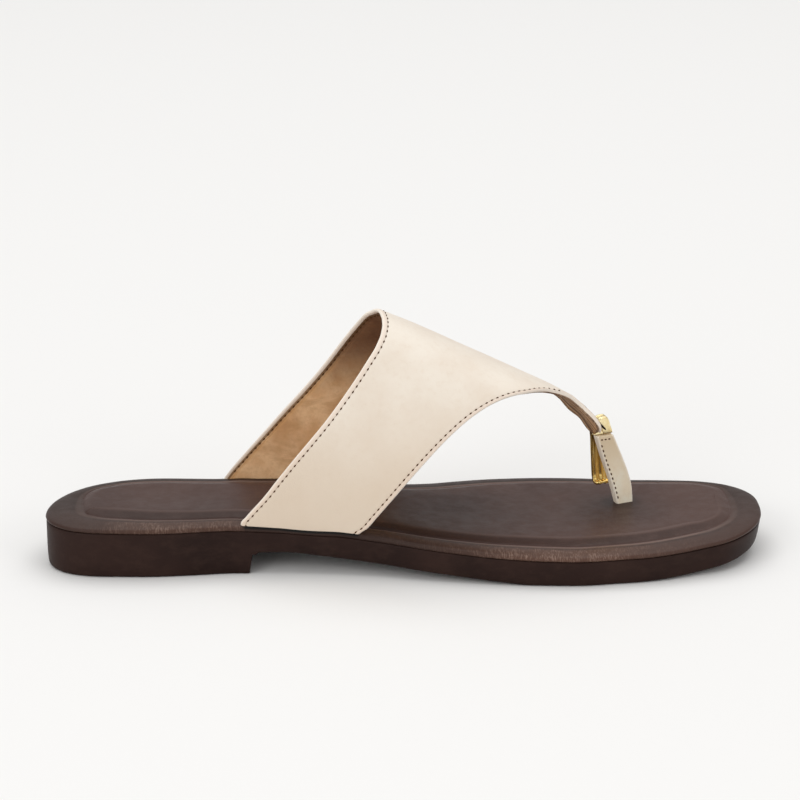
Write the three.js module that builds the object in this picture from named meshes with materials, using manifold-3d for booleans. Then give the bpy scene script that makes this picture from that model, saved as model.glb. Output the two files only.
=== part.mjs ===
// Flat toe post sandal, right shoe, millimetres.
// The tables count x forward from the back of the heel, y to the medial side and z up from the floor.
// The finished pieces are then moved by MIDDLE_X and MIDDLE_Y, so that the origin is the middle of the
// footprint on the floor: +X to the toe, +Y to the medial side, +Z up.
import * as THREE from 'three';
import Module from 'manifold-3d';

const wasm = await Module();
wasm.setup();

// ---------------------------------------------------------------- named sizes
const HEEL_X = -0.76;
const TOE_X = 259.2;
const MIDDLE_X = (HEEL_X + TOE_X) / 2;
const HEEL_TIP_Y = -8.9;
const TOE_TIP_Y = 4.8;
const MIDDLE_Y = -0.55;
const GAP = 0.3;
const TIP_GAP = 0.45;
const CORNER_SOFTENING = 0.01;
const STATIONS = 56;

// full half widths of the footprint, before the heel and the toe are rounded off
const LATERAL_PLAN = [
  { x: 0, y: 29.2 }, { x: 20, y: 28.3 }, { x: 37, y: 29.1 }, { x: 51, y: 28.3 }, { x: 66, y: 26.9 },
  { x: 80, y: 27.0 }, { x: 94, y: 28.3 }, { x: 108, y: 29.9 }, { x: 119, y: 32 }, { x: 133, y: 36 },
  { x: 147, y: 39 }, { x: 160, y: 41.5 }, { x: 175, y: 43.4 }, { x: 189, y: 44.2 }, { x: 203, y: 42.9 },
  { x: 217, y: 42.2 }, { x: 232, y: 41.2 }, { x: 245, y: 42.7 }, { x: 259, y: 42 },
];
const MEDIAL_PLAN = [
  { x: 0, y: 27.7 }, { x: 39, y: 27.3 }, { x: 61, y: 24.9 }, { x: 70, y: 23.5 }, { x: 80, y: 22.8 },
  { x: 100, y: 23.1 }, { x: 120, y: 26 }, { x: 136, y: 30.7 }, { x: 151, y: 37 }, { x: 159, y: 39.8 },
  { x: 167, y: 41.6 }, { x: 174, y: 42.6 }, { x: 183, y: 43.1 }, { x: 190, y: 42.8 }, { x: 197, y: 42 },
  { x: 216, y: 38.5 }, { x: 231, y: 36.7 }, { x: 245, y: 35.5 }, { x: 259, y: 34.2 },
];
// how far each end is rounded off, and how square the rounding is
const HEEL_ROUND = { lateral: { reach: 24.3, power: 2.16 }, medial: { reach: 40.9, power: 2.03 } };
const TOE_ROUND = { lateral: { reach: 72, power: 2.68 }, medial: { reach: 44.5, power: 2.24 } };

// height of the seam between outsole and footbed, and of the underside ahead of the heel
const SEAM = [
  { x: 0, z: 16.5 }, { x: 20, z: 16.3 }, { x: 40, z: 16.2 }, { x: 62, z: 16.4 }, { x: 72, z: 16.5 },
  { x: 85, z: 16.2 }, { x: 100, z: 15 }, { x: 115, z: 13.4 }, { x: 130, z: 12 }, { x: 145, z: 10.7 },
  { x: 160, z: 9.7 }, { x: 175, z: 9.1 }, { x: 190, z: 8.9 }, { x: 210, z: 9 }, { x: 225, z: 9.5 },
  { x: 240, z: 10.6 }, { x: 250, z: 11.5 }, { x: 259, z: 12.3 },
];
const UNDERSIDE = [
  { x: 73, z: 7.8 }, { x: 85, z: 7.9 }, { x: 100, z: 6.6 }, { x: 115, z: 5 }, { x: 130, z: 3.6 },
  { x: 145, z: 2.2 }, { x: 160, z: 0.9 }, { x: 172, z: 0 }, { x: 208, z: 0 }, { x: 225, z: 0.7 },
  { x: 240, z: 2.1 }, { x: 250, z: 3.3 }, { x: 259, z: 4.6 },
];
const BREAST = { bottomX: 71.6, topX: 73.2, roundX: 75.5, roundDrop: 0.9 };

// the outsole's wall from the seam down: share of its height, and inset from the outline
const WALL = [
  { down: 0, inset: 0.5 }, { down: 0.04, inset: 0.2 }, { down: 0.5, inset: 0.25 },
  { down: 0.9, inset: 0.75 }, { down: 1, inset: 1.3 },
];

// the footbed's rolled margin: share of the way in to the crease, and rise above the seam
const MARGIN = [
  { across: 0.05, rise: GAP }, { across: 0.0, rise: 0.9 }, { across: 0.04, rise: 1.5 },
  { across: 0.17, rise: 2.1 }, { across: 0.46, rise: 2.45 }, { across: 0.74, rise: 2.52 },
  { across: 1.0, rise: 2.15 },
];
// the inner slope from the crease up to the shoulder, and the slightly dished middle
const SLOPE = [
  { across: 0.15, rise: 2.62 }, { across: 0.5, rise: 3.2 }, { across: 1, rise: 3.58 },
];
const MIDDLE_RISE = 3.2;
const MARGIN_WIDTH = [
  { x: 0, lateral: 10, medial: 10 }, { x: 8, lateral: 11.4, medial: 5.2 }, { x: 14, lateral: 11.4, medial: 4.7 },
  { x: 20, lateral: 10.8, medial: 5.6 }, { x: 40, lateral: 9.2, medial: 6.4 }, { x: 60, lateral: 7.6, medial: 6.4 },
  { x: 80, lateral: 7, medial: 6.6 }, { x: 110, lateral: 7.4, medial: 7 }, { x: 140, lateral: 8.2, medial: 7.8 },
  { x: 157, lateral: 9.2, medial: 7.9 }, { x: 170, lateral: 10.4, medial: 7.8 },
  { x: 190, lateral: 10, medial: 7.4 }, { x: 207, lateral: 10.2, medial: 6.6 },
  { x: 218, lateral: 11.6, medial: 5.8 }, { x: 234, lateral: 11.4, medial: 4.6 },
  { x: 242, lateral: 12.2, medial: 3.9 }, { x: 250, lateral: 13, medial: 4.4 }, { x: 259, lateral: 11.4, medial: 10 },
];
const SLOPE_WIDTH = [
  { x: 0, lateral: 5, medial: 5 }, { x: 12, lateral: 7, medial: 4.9 }, { x: 24, lateral: 8.4, medial: 4.8 },
  { x: 48, lateral: 7, medial: 4.6 }, { x: 66, lateral: 6.4, medial: 4.6 }, { x: 120, lateral: 6.6, medial: 4.4 },
  { x: 160, lateral: 7.2, medial: 4.3 }, { x: 190, lateral: 8.4, medial: 4.2 }, { x: 205, lateral: 7.4, medial: 4.3 },
  { x: 236, lateral: 9, medial: 4.4 }, { x: 259, lateral: 5, medial: 5 },
];

// cross sections of the last under the strap: an arch from one side of the footbed to the other,
// which rolls over towards the medial side as it narrows to the toe post
const LAST = [
  { x: 60, ridgeZ: 129, ridgeY: 0, lateral: 26.9, medial: 24.5, baseZ: 17.9, roll: 0 },
  { x: 70, ridgeZ: 122, ridgeY: 0, lateral: 26.1, medial: 23, baseZ: 18, roll: 0 },
  { x: 80, ridgeZ: 117, ridgeY: 0, lateral: 26.3, medial: 22.3, baseZ: 17.8, roll: 0 },
  { x: 100, ridgeZ: 103, ridgeY: 0, lateral: 28.2, medial: 22.6, baseZ: 16.5, roll: 0 },
  { x: 120, ridgeZ: 89.6, ridgeY: 0, lateral: 31.2, medial: 25.5, baseZ: 14.6, roll: 0 },
  { x: 130, ridgeZ: 85.2, ridgeY: 0, lateral: 33, medial: 28, baseZ: 14, roll: 0 },
  { x: 140, ridgeZ: 80.5, ridgeY: 0, lateral: 34, medial: 29.9, baseZ: 13.4, roll: 0 },
  { x: 150, ridgeZ: 75.6, ridgeY: 0, lateral: 34, medial: 31.6, baseZ: 12.9, roll: 0 },
  { x: 160, ridgeZ: 70.9, ridgeY: -0.3, lateral: 33.5, medial: 33, baseZ: 12.6, roll: 0 },
  { x: 170, ridgeZ: 66.2, ridgeY: -0.6, lateral: 32.5, medial: 33.6, baseZ: 13, roll: 1 },
  { x: 176, ridgeZ: 63.4, ridgeY: 0.4, lateral: 32, medial: 33, baseZ: 13, roll: 4 },
  { x: 182, ridgeZ: 60.5, ridgeY: 2.2, lateral: 31, medial: 31.4, baseZ: 12, roll: 10 },
  { x: 187, ridgeZ: 57.1, ridgeY: 4.1, lateral: 30, medial: 30, baseZ: 11, roll: 20 },
  { x: 191, ridgeZ: 53, ridgeY: 5.6, lateral: 30, medial: 30, baseZ: 9, roll: 33 },
  { x: 195, ridgeZ: 49.3, ridgeY: 6.45, lateral: 30, medial: 30, baseZ: 7, roll: 33 },
  { x: 199, ridgeZ: 43.7, ridgeY: 6.55, lateral: 30, medial: 30, baseZ: 5, roll: 52 },
  { x: 204, ridgeZ: 34.1, ridgeY: 8.45, lateral: 30, medial: 30, baseZ: 3, roll: 69 },
];
const ARCH_POWER = 2.2;

// the strap's cut edges on the last, from the lateral end over the ridge to the medial end:
// x and the share of the arch (-1 lateral base, 0 ridge, 1 medial base)
const STRAP = [
  { rearX: 69.0, rearArc: -1, frontX: 112.2, frontArc: -1 },
  { rearX: 77.2, rearArc: -0.95, frontX: 117.9, frontArc: -0.95 },
  { rearX: 83.5, rearArc: -0.9, frontX: 122.6, frontArc: -0.9 },
  { rearX: 93.4, rearArc: -0.8, frontX: 131, frontArc: -0.8 },
  { rearX: 100.9, rearArc: -0.7, frontX: 142.1, frontArc: -0.65 },
  { rearX: 108.4, rearArc: -0.57, frontX: 153.1, frontArc: -0.49 },
  { rearX: 113.8, rearArc: -0.45, frontX: 164.2, frontArc: -0.33 },
  { rearX: 117.5, rearArc: -0.33, frontX: 173, frontArc: -0.215 },
  { rearX: 119.6, rearArc: -0.23, frontX: 181, frontArc: -0.13 },
  { rearX: 120.6, rearArc: -0.14, frontX: 188, frontArc: -0.103 },
  { rearX: 120.8, rearArc: -0.08, frontX: 195, frontArc: -0.071 },
  { rearX: 120.8, rearArc: -0.04, frontX: 201.5, frontArc: -0.071 },
  { rearX: 120.8, rearArc: 0, frontX: 200.7, frontArc: -0.0235 },
  { rearX: 120.7, rearArc: 0.04, frontX: 199.9, frontArc: 0.024 },
  { rearX: 120.5, rearArc: 0.08, frontX: 195.5, frontArc: 0.102 },
  { rearX: 120.2, rearArc: 0.13, frontX: 189.8, frontArc: 0.115 },
  { rearX: 119.2, rearArc: 0.2, frontX: 183.8, frontArc: 0.2 },
  { rearX: 117.0, rearArc: 0.27, frontX: 177.2, frontArc: 0.32 },
  { rearX: 113.3, rearArc: 0.38, frontX: 170, frontArc: 0.44 },
  { rearX: 108.2, rearArc: 0.5, frontX: 161, frontArc: 0.555 },
  { rearX: 100.7, rearArc: 0.64, frontX: 151, frontArc: 0.68 },
  { rearX: 91.9, rearArc: 0.76, frontX: 140.5, frontArc: 0.8 },
  { rearX: 79.6, rearArc: 0.88, frontX: 131, frontArc: 0.89 },
  { rearX: 71.6, rearArc: 0.94, frontX: 122.5, frontArc: 0.955 },
  { rearX: 62.4, rearArc: 1, frontX: 114, frontArc: 1 },
];
const STRAP_WALL = 2.1;
const STRAP_ROWS_PER_PLY = 3;
const STRAP_COLUMNS = 16;
const EDGE_ROUND = 0.35;

// the toe post stands in its own upright plane, turned a little from the shoe's length.
// rear and front count along that plane from its corner at the footbed
const POST_CORNER = { x: 206.18, y: 7.34 };
const POST_TURN = 21.6;
const POST_THICK = 3.2;
const POST = [
  { z: 10.6, rear: 2.1, front: 8.3 }, { z: 13.2, rear: 1.3, front: 8.15 },
  { z: 18, rear: -0.1, front: 7.7 }, { z: 23.5, rear: -1.9, front: 6.2 },
  { z: 30, rear: -4.4, front: 3.6 }, { z: 35, rear: -6.1, front: 1.4 },
  { z: 39.6, rear: -7.6, front: -0.6 },
];
const POST_EDGE = 0.5;

// the link's head over the toe post, its bare run behind the post, and its tongue in the post
const HEAD = [
  { along: -8.4, z: 40 }, { along: -0.75, z: 40 }, { along: -1.1, z: 42.4 }, { along: -1.9, z: 44.5 },
  { along: -2.9, z: 46 }, { along: -4.3, z: 46.9 }, { along: -5.8, z: 46.9 }, { along: -7.1, z: 46.2 },
  { along: -8.2, z: 44.6 },
];
const HEAD_DEPTH = { near: 0, far: 3 };
const STRIP_THICK = 1.3;
const STRIP_RUN = [
  { deep: 1.6, z: 44.6, along: -5, half: 2.2 }, { deep: 3.2, z: 45.3, along: -5, half: 2.4 },
  { deep: 5, z: 44.9, along: -4.7, half: 2.8 }, { deep: 6.5, z: 43.4, along: -4, half: 3.3 },
  { deep: 7.2, z: 41.1, along: -3.2, half: 3.8 }, { deep: 7.4, z: 38, along: -2.4, half: 4 },
  { deep: 7.4, z: 30, along: -1.9, half: 4 }, { deep: 7.4, z: 23, along: -1.4, half: 4 },
  { deep: 7.1, z: 20.8, along: -1.2, half: 4 }, { deep: 6.3, z: 19.7, along: -1.1, half: 4 },
  { deep: 5.2, z: 19.6, along: -1, half: 4 }, { deep: 4, z: 20, along: -1, half: 4 },
];
const TONGUE = { rearShare: 0.2, frontShare: 0.8, near: 1.0, far: 2.2, bottomZ: 30 };

const COLOURS = { outsole: 0x33251f, footbed: 0x4a3831, leather: 0xe6dac8, gold: 0xd9a94a };

// ---------------------------------------------------------------- curves through the tables
function curve(rows, key, by = 'x') {
  const n = rows.length;
  const xs = rows.map((row, i) => (by === 'index' ? i : row[by]));
  const ys = rows.map((row) => row[key]);
  const step = [];
  const rise = [];
  for (let i = 0; i < n - 1; i++) {
    step.push(xs[i + 1] - xs[i]);
    rise.push((ys[i + 1] - ys[i]) / step[i]);
  }
  const slope = ys.map((y, i) => {
    if (i === 0) return rise[0];
    if (i === n - 1) return rise[n - 2];
    if (rise[i - 1] * rise[i] <= 0) return 0;
    const a = 2 * step[i] + step[i - 1];
    const b = step[i] + 2 * step[i - 1];
    return (a + b) / (a / rise[i - 1] + b / rise[i]);
  });
  return (x) => {
    let i = 0;
    while (i < n - 2 && x > xs[i + 1]) i++;
    const t = (x - xs[i]) / step[i];
    const near = (1 + 2 * t) * (1 - t) ** 2;
    const nearSlope = t * (1 - t) ** 2;
    const far = t * t * (3 - 2 * t);
    const farSlope = t * t * (t - 1);
    return near * ys[i] + nearSlope * step[i] * slope[i] + far * ys[i + 1] + farSlope * step[i] * slope[i + 1];
  };
}

// ---------------------------------------------------------------- closed solids
function solid(points, triangles) {
  const geometry = new THREE.BufferGeometry();
  geometry.setAttribute('position', new THREE.Float32BufferAttribute(points.flat(), 3));
  geometry.setIndex(triangles.flat());
  return geometry;
}

function toManifold(geometry) {
  const vertProperties = new Float32Array(geometry.getAttribute('position').array);
  const triVerts = new Uint32Array(geometry.getIndex().array);
  const mesh = new wasm.Mesh({ numProp: 3, vertProperties, triVerts });
  mesh.merge();
  return new wasm.Manifold(mesh);
}

function fromManifold(manifold) {
  const mesh = manifold.getMesh();
  const geometry = new THREE.BufferGeometry();
  geometry.setAttribute('position', new THREE.Float32BufferAttribute(mesh.vertProperties, 3));
  geometry.setIndex(Array.from(mesh.triVerts));
  return geometry;
}

// the same solid with every face moved out by one distance, for the clearance round a piece.
// each corner moves to where its own faces meet again
function grown(geometry, by) {
  const position = geometry.getAttribute('position');
  const index = geometry.getIndex();
  const corner = [0, 1, 2].map(() => new THREE.Vector3());
  const sums = [];
  for (let i = 0; i < position.count; i++) sums.push({ xx: 0, xy: 0, xz: 0, yy: 0, yz: 0, zz: 0, x: 0, y: 0, z: 0 });
  for (let i = 0; i < index.count; i += 3) {
    corner.forEach((point, k) => point.fromBufferAttribute(position, index.getX(i + k)));
    const normal = corner[1].clone().sub(corner[0]).cross(corner[2].clone().sub(corner[0])).normalize();
    for (let k = 0; k < 3; k++) {
      const sum = sums[index.getX(i + k)];
      sum.xx += normal.x * normal.x;
      sum.xy += normal.x * normal.y;
      sum.xz += normal.x * normal.z;
      sum.yy += normal.y * normal.y;
      sum.yz += normal.y * normal.z;
      sum.zz += normal.z * normal.z;
      sum.x += normal.x;
      sum.y += normal.y;
      sum.z += normal.z;
    }
  }
  const larger = geometry.clone();
  sums.forEach((sum, i) => {
    const soft = CORNER_SOFTENING * (sum.xx + sum.yy + sum.zz);
    const matrix = new THREE.Matrix3().set(
      sum.xx + soft, sum.xy, sum.xz,
      sum.xy, sum.yy + soft, sum.yz,
      sum.xz, sum.yz, sum.zz + soft,
    );
    const move = new THREE.Vector3(sum.x, sum.y, sum.z).applyMatrix3(matrix.invert()).multiplyScalar(by);
    larger.getAttribute('position').setXYZ(
      i,
      position.getX(i) + move.x,
      position.getY(i) + move.y,
      position.getZ(i) + move.z,
    );
  });
  return larger;
}

// rings of equal count, one above the other, joined by walls
function joinRings(ringCount, count, triangles) {
  for (let r = 0; r < ringCount - 1; r++) {
    for (let i = 0; i < count; i++) {
      const j = (i + 1) % count;
      const a = r * count + i;
      const b = r * count + j;
      const c = (r + 1) * count + j;
      const d = (r + 1) * count + i;
      triangles.push([a, b, c], [a, c, d]);
    }
  }
}

// ---------------------------------------------------------------- the footprint
const lateralPlan = curve(LATERAL_PLAN, 'y');
const medialPlan = curve(MEDIAL_PLAN, 'y');
const seamZ = curve(SEAM, 'z');
const undersideZ = curve(UNDERSIDE, 'z');
const marginLateral = curve(MARGIN_WIDTH, 'lateral');
const marginMedial = curve(MARGIN_WIDTH, 'medial');
const slopeLateral = curve(SLOPE_WIDTH, 'lateral');
const slopeMedial = curve(SLOPE_WIDTH, 'medial');

function rounding(distance, { reach, power }) {
  const share = Math.min(Math.max(distance / reach, 0), 1);
  return (1 - (1 - share) ** power) ** (1 / power);
}

function edgeY(x, side) {
  const full = side === 'lateral' ? -lateralPlan(x) : medialPlan(x);
  const heel = HEEL_TIP_Y + (full - HEEL_TIP_Y) * rounding(x - HEEL_X, HEEL_ROUND[side]);
  return TOE_TIP_Y + (heel - TOE_TIP_Y) * rounding(TOE_X - x, TOE_ROUND[side]);
}

// stations along the shoe, close together at the round ends, with three at the heel's breast
function stations() {
  const xs = [];
  for (let i = 0; i <= STATIONS; i++) {
    xs.push(HEEL_X + ((TOE_X - HEEL_X) / 2) * (1 - Math.cos((Math.PI * i) / STATIONS)));
  }
  const fixed = [BREAST.bottomX, BREAST.topX, BREAST.roundX];
  const kept = xs.filter((x) => fixed.every((f) => Math.abs(x - f) > 2.4));
  return kept.concat(fixed).sort((a, b) => a - b);
}

const STATION_X = stations();
const LAST_STATION = STATION_X.length - 1;

// the outline runs from the heel along the lateral side to the toe and back along the medial side
const OUTLINE = [];
STATION_X.forEach((x) => OUTLINE.push({ x, y: edgeY(x, 'lateral'), side: 'lateral' }));
STATION_X.slice(1, -1).reverse().forEach((x) => OUTLINE.push({ x, y: edgeY(x, 'medial'), side: 'medial' }));
const AROUND = OUTLINE.length;
OUTLINE.forEach((point, i) => {
  const before = OUTLINE[(i + AROUND - 1) % AROUND];
  const after = OUTLINE[(i + 1) % AROUND];
  const length = Math.hypot(after.x - before.x, after.y - before.y);
  point.inX = -(after.y - before.y) / length;
  point.inY = (after.x - before.x) / length;
});
// the inward directions are evened out, so that the inner rings stay apart round the heel and toe
for (let pass = 0; pass < 6; pass++) {
  const even = OUTLINE.map((point, i) => {
    const before = OUTLINE[(i + AROUND - 1) % AROUND];
    const after = OUTLINE[(i + 1) % AROUND];
    const x = before.inX + 2 * point.inX + after.inX;
    const y = before.inY + 2 * point.inY + after.inY;
    return { x: x / Math.hypot(x, y), y: y / Math.hypot(x, y) };
  });
  even.forEach((direction, i) => {
    OUTLINE[i].inX = direction.x;
    OUTLINE[i].inY = direction.y;
  });
}

// fills the inside of a ring with strips across the shoe; height(x, share across) gives z
function fillRing(points, triangles, first, across, height, up) {
  const rows = [[first]];
  for (let i = 1; i < LAST_STATION; i++) {
    const a = points[first + i];
    const b = points[first + AROUND - i];
    const row = [first + i];
    for (let k = 1; k < across; k++) {
      const t = k / across;
      const x = a[0] + (b[0] - a[0]) * t;
      const y = a[1] + (b[1] - a[1]) * t;
      points.push([x, y, height(x, t, a[2] + (b[2] - a[2]) * t)]);
      row.push(points.length - 1);
    }
    row.push(first + AROUND - i);
    rows.push(row);
  }
  rows.push([first + LAST_STATION]);
  const put = (a, b, c) => triangles.push(up ? [a, b, c] : [a, c, b]);
  for (let i = 0; i < rows.length - 1; i++) {
    const near = rows[i];
    const far = rows[i + 1];
    if (near.length === 1) {
      for (let k = 0; k < far.length - 1; k++) put(near[0], far[k], far[k + 1]);
    } else if (far.length === 1) {
      for (let k = 0; k < near.length - 1; k++) put(near[k], far[0], near[k + 1]);
    } else {
      for (let k = 0; k < near.length - 1; k++) {
        put(near[k], far[k], far[k + 1]);
        put(near[k], far[k + 1], near[k + 1]);
      }
    }
  }
}

// ---------------------------------------------------------------- outsole with its heel
function wallBottom(x) {
  if (x <= BREAST.bottomX) return 0;
  const ahead = undersideZ(Math.max(x, BREAST.topX));
  return x < BREAST.roundX - 0.1 ? ahead - BREAST.roundDrop : ahead;
}

function makeOutsole() {
  const points = [];
  const triangles = [];
  WALL.slice().reverse().forEach((row) => {
    OUTLINE.forEach((point) => {
      const top = seamZ(point.x);
      const bottom = wallBottom(point.x);
      points.push([
        point.x + point.inX * row.inset,
        point.y + point.inY * row.inset,
        top + (bottom - top) * row.down,
      ]);
    });
  });
  joinRings(WALL.length, AROUND, triangles);
  fillRing(points, triangles, 0, 3, (x, t, z) => z, false);
  fillRing(points, triangles, (WALL.length - 1) * AROUND, 3, (x, t, z) => z, true);
  return solid(points, triangles);
}

// ---------------------------------------------------------------- footbed
function makeFootbed() {
  const points = [];
  const triangles = [];
  const rings = MARGIN.map((row) => ({ ...row, slope: 0 }))
    .concat(SLOPE.map((row) => ({ across: 1, rise: row.rise, slope: row.across })));
  rings.forEach((row) => {
    OUTLINE.forEach((point) => {
      const side = 0.5 + 0.5 * point.inY;
      const marginWidth = marginMedial(point.x) * (1 - side) + marginLateral(point.x) * side;
      const slopeWidth = slopeMedial(point.x) * (1 - side) + slopeLateral(point.x) * side;
      const inset = marginWidth * row.across + slopeWidth * row.slope;
      const x = point.x + point.inX * inset;
      points.push([x, point.y + point.inY * inset, seamZ(x) + row.rise]);
    });
  });
  joinRings(rings.length, AROUND, triangles);
  fillRing(points, triangles, 0, 3, (x, t, z) => z, false);
  const crown = (x, t) => seamZ(x) + SLOPE[2].rise + (MIDDLE_RISE - SLOPE[2].rise) * Math.sin(Math.PI * t);
  fillRing(points, triangles, (rings.length - 1) * AROUND, 5, crown, true);
  return solid(points, triangles);
}

// ---------------------------------------------------------------- upper: the strap over the last
const lastColumn = {};
['ridgeZ', 'ridgeY', 'lateral', 'medial', 'baseZ', 'roll'].forEach((key) => {
  lastColumn[key] = curve(LAST, key);
});
const strapColumn = {};
['rearX', 'rearArc', 'frontX', 'frontArc'].forEach((key) => {
  strapColumn[key] = curve(STRAP, key, 'index');
});

function onLast(x, arc) {
  const angle = (Math.abs(arc) * Math.PI) / 2;
  const half = arc < 0 ? -lastColumn.lateral(x) : lastColumn.medial(x);
  const out = half * Math.sin(angle) ** (2 / ARCH_POWER);
  const height = lastColumn.ridgeZ(x) - lastColumn.baseZ(x);
  const down = height * (Math.max(Math.cos(angle), 0) ** (2 / ARCH_POWER) - 1);
  const roll = (lastColumn.roll(x) * Math.PI) / 180;
  return new THREE.Vector3(
    x,
    lastColumn.ridgeY(x) + out * Math.cos(roll) + down * Math.sin(roll),
    lastColumn.ridgeZ(x) - out * Math.sin(roll) + down * Math.cos(roll),
  );
}

// ply counts rows of the STRAP table, across runs from the rear edge (0) to the front edge (1)
function strapPlace(ply, across) {
  return {
    x: strapColumn.rearX(ply) + (strapColumn.frontX(ply) - strapColumn.rearX(ply)) * across,
    arc: strapColumn.rearArc(ply) + (strapColumn.frontArc(ply) - strapColumn.rearArc(ply)) * across,
  };
}

function strapPoint(ply, across) {
  const { x, arc } = strapPlace(ply, across);
  return onLast(x, arc);
}

// square to the last, out of the foot
function strapNormal(ply, across) {
  const { x, arc } = strapPlace(ply, across);
  const ahead = onLast(x + 0.3, arc).sub(onLast(x - 0.3, arc));
  const over = onLast(x, Math.min(arc + 0.02, 1)).sub(onLast(x, Math.max(arc - 0.02, -1)));
  return ahead.cross(over).normalize();
}

function makeStrap() {
  const rows = (STRAP.length - 1) * STRAP_ROWS_PER_PLY + 1;
  const columns = STRAP_COLUMNS + 1;
  const points = [];
  const triangles = [];
  const ring = [];
  for (let c = 0; c < columns; c++) ring.push({ across: c / STRAP_COLUMNS, depth: 0, out: 0 });
  ring.push({ across: 1, depth: 0.5, out: 1 });
  for (let c = columns - 1; c >= 0; c--) ring.push({ across: c / STRAP_COLUMNS, depth: 1, out: 0 });
  ring.push({ across: 0, depth: 0.5, out: -1 });
  for (let r = 0; r < rows; r++) {
    const ply = r / STRAP_ROWS_PER_PLY;
    const ahead = strapPoint(ply, 1).sub(strapPoint(ply, 0.97)).normalize();
    const behind = strapPoint(ply, 0.03).sub(strapPoint(ply, 0)).normalize();
    ring.forEach((place) => {
      const point = strapPoint(ply, place.across);
      point.addScaledVector(strapNormal(ply, place.across), -STRAP_WALL * place.depth);
      if (place.out > 0) point.addScaledVector(ahead, EDGE_ROUND);
      if (place.out < 0) point.addScaledVector(behind, -EDGE_ROUND);
      points.push([point.x, point.y, point.z]);
    });
  }
  const count = ring.length;
  for (let r = 0; r < rows - 1; r++) {
    for (let i = 0; i < count; i++) {
      const a = r * count + i;
      const b = r * count + ((i + 1) % count);
      triangles.push([a, b, b + count], [a, b + count, a + count]);
    }
  }
  // the two cut ends: quads between the outer and the inner face, with a point at each rounded edge
  const capEnd = (start, flip) => {
    const put = (a, b, c) => triangles.push(flip ? [start + a, start + c, start + b] : [start + a, start + b, start + c]);
    for (let c = 0; c < columns - 1; c++) {
      const innerHere = count - 2 - c;
      put(c, innerHere, c + 1);
      put(c + 1, innerHere, innerHere - 1);
    }
    put(columns - 1, columns + 1, columns);
    put(0, count - 1, count - 2);
  };
  capEnd(0, false);
  capEnd((rows - 1) * count, true);
  return solid(points, triangles);
}

// ---------------------------------------------------------------- toe post and link
const turn = (POST_TURN * Math.PI) / 180;

// a point by its place along the post's plane, its depth behind the plane and its height
function byPost(along, deep, z) {
  return [
    POST_CORNER.x + along * Math.cos(turn) - deep * Math.sin(turn),
    POST_CORNER.y + along * Math.sin(turn) + deep * Math.cos(turn),
    z,
  ];
}

// a stack of rings closed at both ends
function stack(rings, flip) {
  const points = rings.flat();
  const triangles = [];
  const count = rings[0].length;
  joinRings(rings.length, count, triangles);
  const top = (rings.length - 1) * count;
  for (let i = 1; i < count - 1; i++) {
    triangles.push([0, i + 1, i], [top, top + i, top + i + 1]);
  }
  return solid(points, flip ? triangles.map(([a, b, c]) => [a, c, b]) : triangles);
}

const postRear = curve(POST, 'rear', 'z');
const postFront = curve(POST, 'front', 'z');

function postSection(z, near, far, rear, front, edge) {
  return [
    byPost(rear + edge, near, z), byPost(front - edge, near, z), byPost(front, near + edge, z),
    byPost(front, far - edge, z), byPost(front - edge, far, z), byPost(rear + edge, far, z),
    byPost(rear, far - edge, z), byPost(rear, near + edge, z),
  ];
}

function makePost() {
  const heights = [POST[0].z, 12, 13.2, 15.5, 18, 20.7, 23.5, 26.5, 30, 33, 36, 38.9, 39.6];
  const top = heights[heights.length - 1];
  return stack(heights.map((z) => {
    const trim = z === top ? POST_EDGE : 0;
    return postSection(z, trim, POST_THICK - trim, postRear(z) + trim, postFront(z) - trim, POST_EDGE);
  }), false);
}

function makeTongue(grow) {
  const heights = [TONGUE.bottomZ - grow, 34, 38, 41.5];
  return stack(heights.map((z) => {
    const width = postFront(z) - postRear(z);
    const rear = postRear(z) + width * TONGUE.rearShare - grow;
    const front = postRear(z) + width * TONGUE.frontShare + grow;
    return [
      byPost(rear, TONGUE.near - grow, z), byPost(front, TONGUE.near - grow, z),
      byPost(front, TONGUE.far + grow, z), byPost(rear, TONGUE.far + grow, z),
    ];
  }), false);
}

function makeHead() {
  const bevel = 0.45;
  const middle = { along: -4.6, z: 43.5 };
  const layers = [
    { deep: HEAD_DEPTH.near, shrink: bevel }, { deep: HEAD_DEPTH.near + bevel, shrink: 0 },
    { deep: HEAD_DEPTH.far - bevel, shrink: 0 }, { deep: HEAD_DEPTH.far, shrink: bevel },
  ];
  return stack(layers.map(({ deep, shrink }) => HEAD.map((corner) => {
    const along = corner.along - middle.along;
    const up = corner.z - middle.z;
    const scale = 1 - shrink / Math.hypot(along, up);
    return byPost(middle.along + along * scale, deep, middle.z + up * scale);
  })), true);
}

// the bent strip: a flat bar swept along the run, its broad side always along the post's plane
function makeStrip() {
  const places = [];
  const parts = 3;
  const column = {};
  ['deep', 'z', 'along', 'half'].forEach((key) => { column[key] = curve(STRIP_RUN, key, 'index'); });
  for (let i = 0; i <= (STRIP_RUN.length - 1) * parts; i++) {
    const at = i / parts;
    const h = 0.05;
    const low = Math.max(at - h, 0);
    const high = Math.min(at + h, STRIP_RUN.length - 1);
    const goDeep = column.deep(high) - column.deep(low);
    const goUp = column.z(high) - column.z(low);
    const go = Math.hypot(goDeep, goUp);
    const half = STRIP_THICK / 2;
    const wide = column.half(at);
    const edge = 0.3;
    const corner = (side, face) => byPost(
      column.along(at) + side,
      column.deep(at) + (face * -goUp) / go,
      column.z(at) + (face * goDeep) / go,
    );
    places.push([
      corner(-wide + edge, half), corner(wide - edge, half), corner(wide, half - edge),
      corner(wide, -half + edge), corner(wide - edge, -half), corner(-wide + edge, -half),
      corner(-wide, -half + edge), corner(-wide, half - edge),
    ]);
  }
  return stack(places, false);
}

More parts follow.
